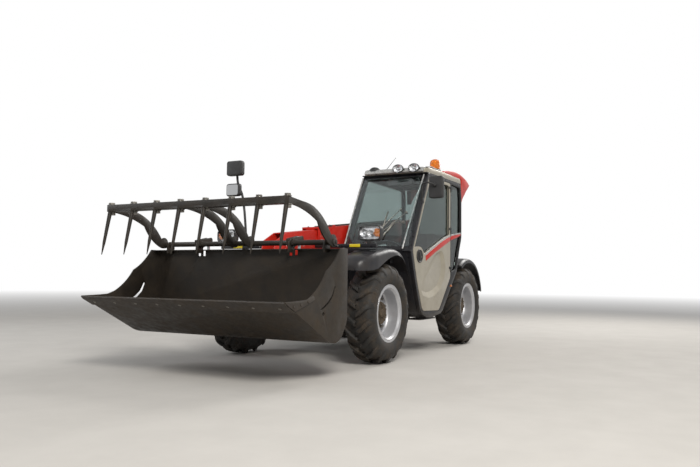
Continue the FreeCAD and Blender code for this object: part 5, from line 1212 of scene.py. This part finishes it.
dashOutline = softened([(-0.800, 1.147), (-0.950, 1.147), (-0.960, 1.225), (-0.880, 1.300), (-0.810, 1.345),
                        (-0.745, 1.322), (-0.700, 1.288), (-0.730, 1.225)],
                       [0.01, 0.02, 0.02, 0.03, 0.02, 0.02, 0.02, 0.02], 3)
steer.append(plate("dashBody", dashOutline, "y", 0.230, 1.080, edge=0.012, steps=3))
steer.append(plate("binnacle", softened([(-0.955, 1.232), (-0.985, 1.262), (-0.860, 1.405), (-0.805, 1.400),
                                         (-0.790, 1.330)], 0.016, 3), "y", 0.500, 0.810, edge=0.014, steps=3))
for y in (seatY - 0.085, seatY, seatY + 0.085):
    steer.append(lathe("gauge", [(-0.004, 0.001), (-0.004, 0.034), (0.004, 0.034), (0.006, 0.031), (0.003, 0.028),
                                 (0.002, 0.001)], spot(-0.925, y, 1.337), axis=(-0.755, 0, 0.656), steps=28))
for number in range(5):
    y = 0.280 + number * 0.038
    steer.append(block("dashSwitch", spot(-0.966, y, 1.180), spot(-0.952, y + 0.026, 1.212), edge=0.004))
for y in (0.520, 0.780):
    steer.append(plate("pedal", softened([(-0.800, 0.670), (-0.812, 0.664), (-0.872, 0.782), (-0.860, 0.790)],
                                         0.003, 2), "y", y - 0.045, y + 0.045, edge=0.004))
    steer.append(bent("pedalArm", [spot(-0.838, y, 0.730), spot(-0.800, y, 0.800), spot(-0.770, y, 0.930),
                                   spot(-0.790, y, 1.150)], 0.010))
wheelSet = show(joined("steeringSet", steer), paints["dash"], "machine", 40)
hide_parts("dash_and_wheel")

consoleOutline = softened([(-1.350, 0.640), (-2.060, 0.900), (-2.060, 1.190), (-1.960, 1.235), (-1.480, 1.215),
                           (-1.370, 1.120), (-1.330, 0.800)], [0.02, 0.05, 0.05, 0.06, 0.06, 0.06, 0.05], 4)
console = [
    plate("consoleBody", consoleOutline, "y", 0.236, 0.385, edge=0.014, steps=4),
    bent("joyStem", [spot(-1.560, 0.310, 1.200), spot(-1.552, 0.310, 1.270), spot(-1.538, 0.310, 1.330)], 0.012),
    lathe("joyBoot", [(1.205, 0.001), (1.205, 0.046), (1.216, 0.040), (1.222, 0.032), (1.234, 0.028), (1.242, 0.018),
                      (1.250, 0.016), (1.250, 0.001)], spot(-1.558, 0.310, 0.0), axis=(0, 0, 1), steps=28),
    block("joyHandle", spot(-1.566, 0.288, 1.320), spot(-1.512, 0.332, 1.425), edge=0.018, steps=4),
]
for number in range(6):
    x = -1.700 - number * 0.045
    console.append(block("consoleSwitch", spot(x, 0.270, 1.218), spot(x + 0.030, 0.300, 1.238), edge=0.005))
show(joined("sideConsole", console), paints["dash"], "machine", 40)

visor = plate("sunVisor", rounded((0.560, 2.262), (0.930, 2.350), 0.030), "x", -1.172, -1.158, edge=0.005, steps=3)
innerMirror = plate("innerMirror", rounded((0.965, 2.262), (1.050, 2.330), 0.024), "x", -1.170, -1.150, edge=0.006,
                    steps=3)
hanger = [bent("visorStay", [spot(-1.165, y, 2.345), spot(-1.180, y, 2.385), spot(-1.200, y, 2.412)], 0.005)
          for y in (0.600, 0.890)]
hanger.append(bent("mirrorStay", [spot(-1.168, 1.005, 2.325), spot(-1.185, 1.005, 2.370),
                                  spot(-1.205, 1.005, 2.412)], 0.006))
show(joined("visorSet", [visor] + hanger), paints["dash"], "machine", 40)
show(innerMirror, paints["rubber"], "machine", 40)
floorMat = block("floorMat", spot(-1.700, 0.262, 0.6165), spot(-1.060, 1.040, 0.6265), edge=0.004)
show(floorMat, paints["rubber"], "machine")
print("cab inside ready")

# bucket wear parts, grab nuts and pin caps

def pinCap(centre, side, radius, thick=0.014):
    # round cap over a pin's end, held by one bolt on a washer
    start = centre + Vector((0, side * (thick - 0.001), 0))
    return [lathe("pinCap", [(-0.002, 0.001), (-0.002, radius), (thick - 0.004, radius), (thick, radius - 0.005),
                             (thick, 0.001)], centre, axis=(0, side, 0), steps=32),
            rod("pinBolt", start, start + Vector((0, side * 0.010, 0)), radius * 0.36, sides=6, edge=0.0015),
            lathe("pinWasher", [(thick - 0.002, 0.001), (thick - 0.002, radius * 0.52),
                                (thick + 0.002, radius * 0.50), (thick + 0.002, 0.001)], centre,
                  axis=(0, side, 0), steps=28)]


wear = [plate("cuttingEdge", [(2.398, 0.781), (2.2420, 0.7010), (2.2465, 0.6890), (2.3770, 0.7560),
                              (2.4000, 0.7765)], "y", -1.2655, 1.2655, edge=0.0015)]
sideOutline = softened([(2.396, 0.788), (2.250, 0.790), (2.040, 0.803), (1.930, 0.840), (1.905, 0.800),
                        (2.020, 0.760), (2.240, 0.702), (2.380, 0.768)], 0.012, 2)
for side in (1, -1):
    low, high = sorted((side * 1.2655, side * 1.2755))
    wear.append(plate("sideEdge", sideOutline, "y", low, high, edge=0.002))
    for x, z in ((2.270, 0.745), (2.150, 0.757), (2.030, 0.783)):
        start = spot(x, side * 1.275, z)
        wear.append(rod("edgeBolt", start, start + Vector((0, side * 0.009, 0)), 0.013, sides=6, edge=0.0015))
show(joined("bucketWearParts", wear), paints["cast"], "tool_carriage")
plugs = []
slope = math.atan2(0.356, 0.69)  # how the bucket's lip rises towards its edge
under = Vector((math.sin(slope), 0, -math.cos(slope)))
for number in range(9):
    y = -1.16 + number * 0.29
    start = spot(2.312, y, 0.7255)
    plugs.append(lathe("ploughBolt", [(0.000, 0.001), (0.000, 0.017), (0.0045, 0.015), (0.0045, 0.001)], start,
                       axis=under, steps=20))
show(joined("edgeBolts", plugs), paints["bolt"], "tool_carriage")
ribs = []
for z in (0.640, 0.930):
    for low, high in ((0.400, 1.240), (-1.240, -0.400)):
        ribs.append(plate("backRib", softened([(1.2715, z - 0.045), (1.228, z - 0.035), (1.228, z + 0.035),
                                               (1.2715, z + 0.045)], 0.010, 3), "y", low, high, edge=0.003))
show(joined("bucketRibs", ribs), paints["bucket"], "tool_carriage")

# each tine has a washer and a nut above the bar and below it: x, low, high, radius, sides
tines = {"count": 8, "pitch": 0.320,
         "nuts": ((2.158, 1.747, 1.752, 0.040, 28), (2.158, 1.752, 1.772, 0.033, 6),
                  (2.150, 1.668, 1.675, 0.040, 28), (2.150, 1.640, 1.668, 0.034, 6))}
grabBits, grabCaps, carriageCaps = [], [], []
for number in range(tines["count"]):
    y = tines["pitch"] * (number - (tines["count"] - 1) / 2)
    for x, low, high, radius, sides in tines["nuts"]:
        grabBits.append(rod("tineNut", spot(x, y, low), spot(x, y, high), radius, sides=sides, edge=0.0018))
show(joined("tineNuts", grabBits), paints["bolt"], "grab")
for side in (1, -1):
    grabCaps += pinCap(spot(1.330, side * 1.1455, 1.362), side, 0.040)
    carriageCaps += pinCap(spot(1.050, side * 0.1395, 0.660), side, 0.042)
show(joined("grabPinCaps", grabCaps), paints["cast"], "grab")
show(joined("carriagePinCaps", carriageCaps), paints["cast"], "tool_carriage")

# boom pieces are made along x from its pivot, then laid on it
boomPivot = (-3.050, 0, 1.780)
boomPlace = Matrix.Translation(spot(*boomPivot)) @ Matrix.Rotation(math.radians(6.2), 4, "Y")


def onBoom(piece):
    piece.matrix_world = boomPlace @ piece.matrix_world
    freeze(piece)
    return piece


clamps, collarMiddle = (0.60, 1.55, 2.50), 2.942
collar = []
for low, high in (((2.900, -0.130, 0.163), (2.985, 0.130, 0.177)),
                  ((2.900, -0.130, -0.177), (2.985, 0.130, -0.163)),
                  ((2.900, 0.118, -0.177), (2.985, 0.130, 0.177)),
                  ((2.900, -0.130, -0.177), (2.985, -0.118, 0.177))):
    collar.append(onBoom(block("boomCollar", low, high, edge=0.004, steps=3)))
for x in clamps:
    collar.append(onBoom(block("pipeClamp", (x - 0.020, -0.075, 0.164), (x + 0.020, 0.075, 0.184), edge=0.004)))
show(joined("boomCollar", collar), paints["red"], "boom")
padBolts = [((side * 0.129, z), (side * 0.139, z)) for side in (1, -1) for z in (-0.090, 0.0, 0.090)]
padBolts += [((y, 0.176), (y, 0.186)) for y in (-0.060, 0.060)]
boomBolts = [onBoom(rod("padBolt", (collarMiddle, *start), (collarMiddle, *end), 0.012, sides=6, edge=0.0015))
             for start, end in padBolts]
for x in clamps:
    boomBolts.append(onBoom(rod("clampBolt", (x, 0.0, 0.183), (x, 0.0, 0.191), 0.009, sides=6, edge=0.001)))
show(joined("boomBolts", boomBolts), paints["bolt"], "boom")
pipes = []
for y in (-0.048, -0.024, 0.024, 0.048):
    line = [Vector((x, y, z)) for x, z in ((0.200, 0.166), (0.230, 0.176), (0.400, 0.1765), (1.500, 0.1765),
                                           (2.700, 0.1765), (2.800, 0.1765), (2.830, 0.166))]
    pipes.append(onBoom(bent("boomPipe", line, 0.0075)))
show(joined("boomPipes", pipes), paints["cast"], "boom", 60)
pivotCaps = []
for side in (1, -1):
    pivotCaps += pinCap(spot(boomPivot[0], side * 0.1700, boomPivot[2]), side, 0.062, 0.018)
    low, high = sorted((side * 0.169, side * 0.181))
    pivotCaps.append(block("keeper", spot(-3.160, low, 1.760), spot(-3.085, high, 1.800), edge=0.003))
show(joined("boomPivotCaps", pivotCaps), paints["cast"], "machine")
print("bucket, grab and boom dressed")

# engine hood: louvres, grilles and latches, then the bay's vents and the exhaust

louvres, hoodBits = [], []
for number in range(4):
    z = 1.000 + number * 0.048
    louvres.append(plate("louvre", [(-1.1270, z + 0.034), (-1.1310, z + 0.034), (-1.1390, z + 0.010),
                                    (-1.1390, z + 0.002), (-1.1340, z), (-1.1270, z + 0.002)],
                         "x", -1.760, -1.080, edge=0.0025))
show(joined("hoodLouvres", louvres), paints["red"], "hood", 40)
grilleBars = []
for near, far, barNear, barFar in ((-0.7395, -0.7300, -0.7393, -0.7335), (-2.1125, -2.1025, -2.1095, -2.1030)):
    border = plate("grilleFrame", rounded((-0.980, 0.952), (-0.380, 1.232), 0.030), "x", near, far, edge=0.003)
    grilleBars.append(carve(border, plate("grilleTool", rounded((-0.960, 0.972), (-0.400, 1.212), 0.022), "x",
                                          near - 0.010, far + 0.010)))
    for number in range(11):
        z = 0.984 + number * 0.0216
        grilleBars.append(block("grilleBar", spot(barNear, -0.965, z), spot(barFar, -0.395, z + 0.009), edge=0.002))
show(joined("hoodGrilles", grilleBars), paints["rubber"], "hood")
for x in (-1.000, -1.840):
    hoodBits.append(plate("latchBase", rounded((x - 0.045, 0.935), (x + 0.045, 0.985), 0.014), "y", -1.1375, -1.1285,
                          edge=0.002))
    hoodBits.append(block("latchGrip", spot(x - 0.030, -1.147, 0.944), spot(x + 0.030, -1.136, 0.968), edge=0.004,
                          steps=3))
show(joined("hoodLatches", hoodBits), paints["rubber"], "hood")
bayBits = []
for number in range(7):
    z = 0.560 + number * 0.040
    bayBits.append(block("bayVent", spot(-1.900, -1.1355, z), spot(-1.560, -1.1285, z + 0.014), edge=0.003))
for x in (-0.800, -1.420, -2.040):
    for z in (0.520, 0.860):
        bayBits.append(rod("bayBolt", spot(x, -1.1365, z), spot(x, -1.1290, z), 0.011, sides=6, edge=0.001))
show(joined("bayVents", bayBits), paints["rubber"], "machine")

pipeX, pipeY = -2.158, -0.315
exhaust = [lathe("muffler", [(0.840, 0.001), (0.840, 0.034), (0.856, 0.044), (0.870, 0.048), (1.120, 0.048),
                             (1.375, 0.048), (1.392, 0.044), (1.404, 0.036), (1.404, 0.001)],
                 spot(pipeX, pipeY, 0.0), axis=(0, 0, 1), steps=40),
           block("exhaustFoot", spot(-2.190, -0.352, 0.797), spot(-2.104, -0.278, 0.873), edge=0.010, steps=3),
           lathe("tailPipe", [(1.395, 0.0275), (1.395, 0.031), (1.560, 0.031), (1.612, 0.033), (1.640, 0.038),
                              (1.644, 0.037), (1.612, 0.0295), (1.560, 0.0275)], spot(pipeX, pipeY, 0.0),
                 axis=(0, 0, 1), steps=40)]
for z in (0.930, 1.320):
    exhaust.append(lathe("mufflerBand", [(z, 0.047), (z, 0.0505), (z + 0.018, 0.0505), (z + 0.018, 0.047)],
                         spot(pipeX, pipeY, 0.0), axis=(0, 0, 1), steps=40))
pipeSet = show(joined("exhaustSet", exhaust), paints["pipe"], "machine", 40)
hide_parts("exhaust")
print("hood and exhaust ready")

# rear fenders: arched shells with a rolled lip
# crown as (x, z), cross-section as (y, depth towards the wheel)
rearFender = {"crown": [(-2.470, 1.205), (-2.540, 1.245), (-2.640, 1.283), (-2.760, 1.303), (-2.920, 1.303),
                        (-3.080, 1.268), (-3.220, 1.200), (-3.330, 1.105), (-3.410, 0.990), (-3.460, 0.880),
                        (-3.478, 0.800)],
              "section": [(0.700, 0.030), (0.702, 0.010), (0.715, 0.001), (0.800, 0.000), (0.930, -0.002),
                          (1.050, 0.000), (1.110, 0.004), (1.140, 0.011), (1.156, 0.024), (1.164, 0.042),
                          (1.165, 0.072)]}
arches = []
for side in (1, -1):
    rows = []
    line = smoothLine(rearFender["crown"], 4)
    for number, point in enumerate(line):
        before, after = line[max(0, number - 1)], line[min(len(line) - 1, number + 1)]
        run = (after - before).normalized()
        inwards = Vector((-run.y, run.x))
        if (Vector((rearAxle, axleHeight)) - point).dot(inwards) < 0:
            inwards = -inwards
        rows.append([spot(point.x + inwards.x * deep, side * y, point.y + inwards.y * deep)
                     for y, deep in rearFender["section"]])
    arches.append(sheet("rearArch", rows, shellThick))
    for z, radius in ((1.252, 0.018), (1.263, 0.012)):
        arches.append(rod("archStay", spot(-2.845, side * 0.165, z), spot(-2.845, side * 0.705, 1.283), radius,
                          sides=16, edge=0.002))
rearShells = show(joined("rearFenderShells", arches), paints["fender"], "machine", 40)
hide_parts("rear_fenders")

# rear: lamp clusters, blank plate, tow pin, round reflectors
lampBack, tailPieces, flashPieces, clearPieces = [], [], [], []
for side in (1, -1):
    low, high = sorted((side * 0.776, side * 0.954))
    lampBack.append(plate("tailCase", rounded((low, 0.926), (high, 1.034), 0.016), "x", -3.540, -3.508, edge=0.005))
    span = (high - low - 0.016) / 3
    for number, group in enumerate((tailPieces, flashPieces, clearPieces)):
        start = low + 0.008 + span * (number if side < 0 else 2 - number)
        group.append(plate("tailLens", rounded((start + 0.002, 0.936), (start + span - 0.002, 1.024), 0.009), "x",
                           -3.552, -3.538, edge=0.004, steps=3))
casePiece = show(joined("tailCases", lampBack), paints["dash"], "machine")
show(joined("tailLenses", tailPieces), paints["tail"], "machine")
show(joined("tailFlashers", flashPieces), paints["amber"], "machine")
show(joined("tailClear", clearPieces), paints["lens"], "machine")
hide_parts("rear_lamps")
blankPlate = plate("blankPlate", rounded((-0.260, 0.950), (0.260, 1.062), 0.012), "x", -3.5190, -3.5135, edge=0.0015)
show(blankPlate, paints["plate"], "machine")
blankFrame = plate("blankPlateFrame", rounded((-0.272, 0.938), (0.272, 1.074), 0.018), "x", -3.5140, -3.5095,
                   edge=0.0015)
show(blankFrame, paints["rubber"], "machine")
towParts = [rod("towPin", spot(-3.562, 0, 0.452), spot(-3.562, 0, 0.690), 0.0145, sides=24, edge=0.003),
            lathe("towHead", [(0.644, 0.001), (0.644, 0.026), (0.652, 0.028), (0.660, 0.026), (0.660, 0.001)],
                  spot(-3.562, 0, 0.0), axis=(0, 0, 1), steps=28),
            bent("towRing", [spot(-3.562, y, z) for y, z in ((-0.002, 0.688), (-0.034, 0.715), (-0.020, 0.752),
                                                             (0.020, 0.752), (0.034, 0.715), (0.002, 0.688))],
                 0.005)]
show(joined("towPin", towParts), paints["bolt"], "machine", 40)
reflectorPair = []
for side in (1, -1):
    reflectorPair.append(lathe("roundReflector", [(-0.001, 0.001), (-0.001, 0.032), (0.007, 0.032), (0.010, 0.028),
                                                  (0.010, 0.001)], spot(-3.5095, side * 0.690, 0.980),
                               axis=(-1, 0, 0), steps=32))
show(joined("roundReflectors", reflectorPair), paints["tail"], "machine")

# chassis: bolts over both axles, side marker, step under the door
boltPlaces = [(x, z) for x in (-0.250, -0.120, 0.120, 0.250) for z in (0.640, 0.740)]
boltPlaces += [(x, 0.700) for x in (-2.60, -2.72, -2.93, -3.05)]
chassisBolts = []
for side in (1, -1):
    for x, z in boltPlaces:
        start = spot(x, side * 0.170, z)
        chassisBolts.append(rod("frameBolt", start, start + Vector((0, side * 0.012, 0)), 0.014, sides=6, edge=0.0015))
show(joined("frameBolts", chassisBolts), paints["bolt"], "machine")
marker = plate("sideMarker", rounded((-2.105, 0.880), (-2.050, 0.905), 0.008), "y", 1.139, 1.150, edge=0.003)
show(marker, paints["amber"], "machine")
step = [plate("stepTread", rounded((-1.640, 0.860), (-1.080, 1.090), 0.030), "z", 0.448, 0.462, edge=0.004)]
for number in range(5):
    x = -1.590 + number * 0.105
    carve(step[0], plate("stepTool", rounded((x, 0.910), (x + 0.070, 1.045), 0.020), "z", 0.43, 0.48))
for x in (-1.560, -1.160):
    step.append(block("stepHanger", spot(x - 0.020, 0.870, 0.455), spot(x + 0.020, 0.890, 0.560), edge=0.004))
show(joined("cabStep", step), paints["black"], "machine")
print("rear and chassis dressed")


# camera, light and ground

camera = {"place": (8.0025, 4.604, 1.032), "turn": 208.40, "rise": 3.44, "roll": 0.62, "focus": 690.3, "wide": 700}
turn, rise, roll = (math.radians(camera[key]) for key in ("turn", "rise", "roll"))
ahead = Vector((math.cos(rise) * math.cos(turn), math.cos(rise) * math.sin(turn), math.sin(rise)))
right = ahead.cross(Vector((0, 0, 1))).normalized()
over = right.cross(ahead)
tiltedRight = right * math.cos(roll) + over * math.sin(roll)
tiltedOver = over * math.cos(roll) - right * math.sin(roll)
bpy.ops.object.camera_add(location=camera["place"])
eye = bpy.context.object
eye.matrix_world = Matrix((tiltedRight, tiltedOver, -ahead)).transposed().to_4x4()
eye.location = camera["place"]
eye.data.sensor_width = 36
eye.data.lens = 36 * camera["focus"] / camera["wide"]
eye.data.clip_end = 200
bpy.context.scene.camera = eye

lamps = (
    {"name": "keyLight", "place": (9.0, 8.0, 9.0), "size": 4.0, "power": 1350, "warm": (1.0, 0.97, 0.92)},
    {"name": "sideLight", "place": (4.5, -9.0, 6.5), "size": 6.0, "power": 330, "warm": (0.94, 0.97, 1.0)},
    {"name": "backLight", "place": (-9.0, 3.0, 7.5), "size": 5.0, "power": 700, "warm": (1.0, 0.98, 0.95)},
)
lampAim = Vector((0.3, 0.2, 0.9))
for lamp in lamps:
    bpy.ops.object.light_add(type="AREA", location=lamp["place"])
    light = bpy.context.object
    light.name = lamp["name"]
    light.data.size = lamp["size"]
    light.data.energy = lamp["power"]
    light.data.color = lamp["warm"]
    light.rotation_euler = (lampAim - light.location).to_track_quat("-Z", "Y").to_euler()

whiteRays = ("Is Camera Ray", "Is Glossy Ray", "Is Transmission Ray")


def seenDirectly(tree):
    rays = tree.nodes.new("ShaderNodeLightPath")
    share = rays.outputs[whiteRays[0]]
    for ray in whiteRays[1:]:
        share = times(tree, share, rays.outputs[ray], "MAXIMUM")
    return share


world = bpy.data.worlds.new("studio")
bpy.context.scene.world = world
world.use_nodes = True
skyTree = world.node_tree
skyTree.nodes.clear()
skyOut = skyTree.nodes.new("ShaderNodeOutputWorld")
skyRays = skyTree.nodes.new("ShaderNodeLightPath")
lastSky = None
for strength, ray in ((0.30, None), (0.50, "Is Glossy Ray"), (1.0, "Is Transmission Ray"), (1.0, "Is Camera Ray")):
    sky = skyTree.nodes.new("ShaderNodeBackground")
    sky.inputs["Color"].default_value = (1, 1, 1, 1)
    sky.inputs["Strength"].default_value = strength
    if ray is None:
        lastSky = sky.outputs[0]
        continue
    mix = skyTree.nodes.new("ShaderNodeMixShader")
    skyTree.links.new(skyRays.outputs[ray], mix.inputs[0])
    skyTree.links.new(lastSky, mix.inputs[1])
    skyTree.links.new(sky.outputs[0], mix.inputs[2])
    lastSky = mix.outputs[0]
skyTree.links.new(lastSky, skyOut.inputs["Surface"])

floor = {"half": 60.0, "colour": (0.58, 0.56, 0.53), "clear": (9.0, 34.0)}
bpy.ops.object.select_all(action="DESELECT")
bpy.ops.mesh.primitive_plane_add(size=floor["half"] * 2, location=(0, 0, 0))
ground = bpy.context.object
ground.name = "ground"
material, tree, skin, place = blank("paleFloor")
grain = noise(tree, place, 2.2, 8.0, 0.6)
tree.links.new(blendOf(tree, remap(tree, grain, 0.35, 0.65, 0.0, 1.0), floor["colour"],
                       tuple(c * 0.95 for c in floor["colour"])), skin.inputs["Base Color"])
tree.links.new(remap(tree, grain, 0.3, 0.7, 0.8, 0.95), skin.inputs["Roughness"])
skin.inputs["Specular IOR Level"].default_value = 0.2
glow = tree.nodes.new("ShaderNodeEmission")
reach = tree.nodes.new("ShaderNodeVectorMath")
reach.operation = "LENGTH"
tree.links.new(place, reach.inputs[0])
far = remap(tree, reach.outputs["Value"], *floor["clear"], 0.0, 1.0)
fade = tree.nodes.new("ShaderNodeMixShader")
tree.links.new(times(tree, far, seenDirectly(tree)), fade.inputs[0])
tree.links.new(skin.outputs[0], fade.inputs[1])
tree.links.new(glow.outputs[0], fade.inputs[2])
outNode = next(node for node in tree.nodes if node.bl_idname == "ShaderNodeOutputMaterial")
tree.links.new(fade.outputs[0], outNode.inputs["Surface"])
ground.data.materials.append(material)
bpy.context.scene.view_settings.view_transform = "Standard"
print("stage ready")
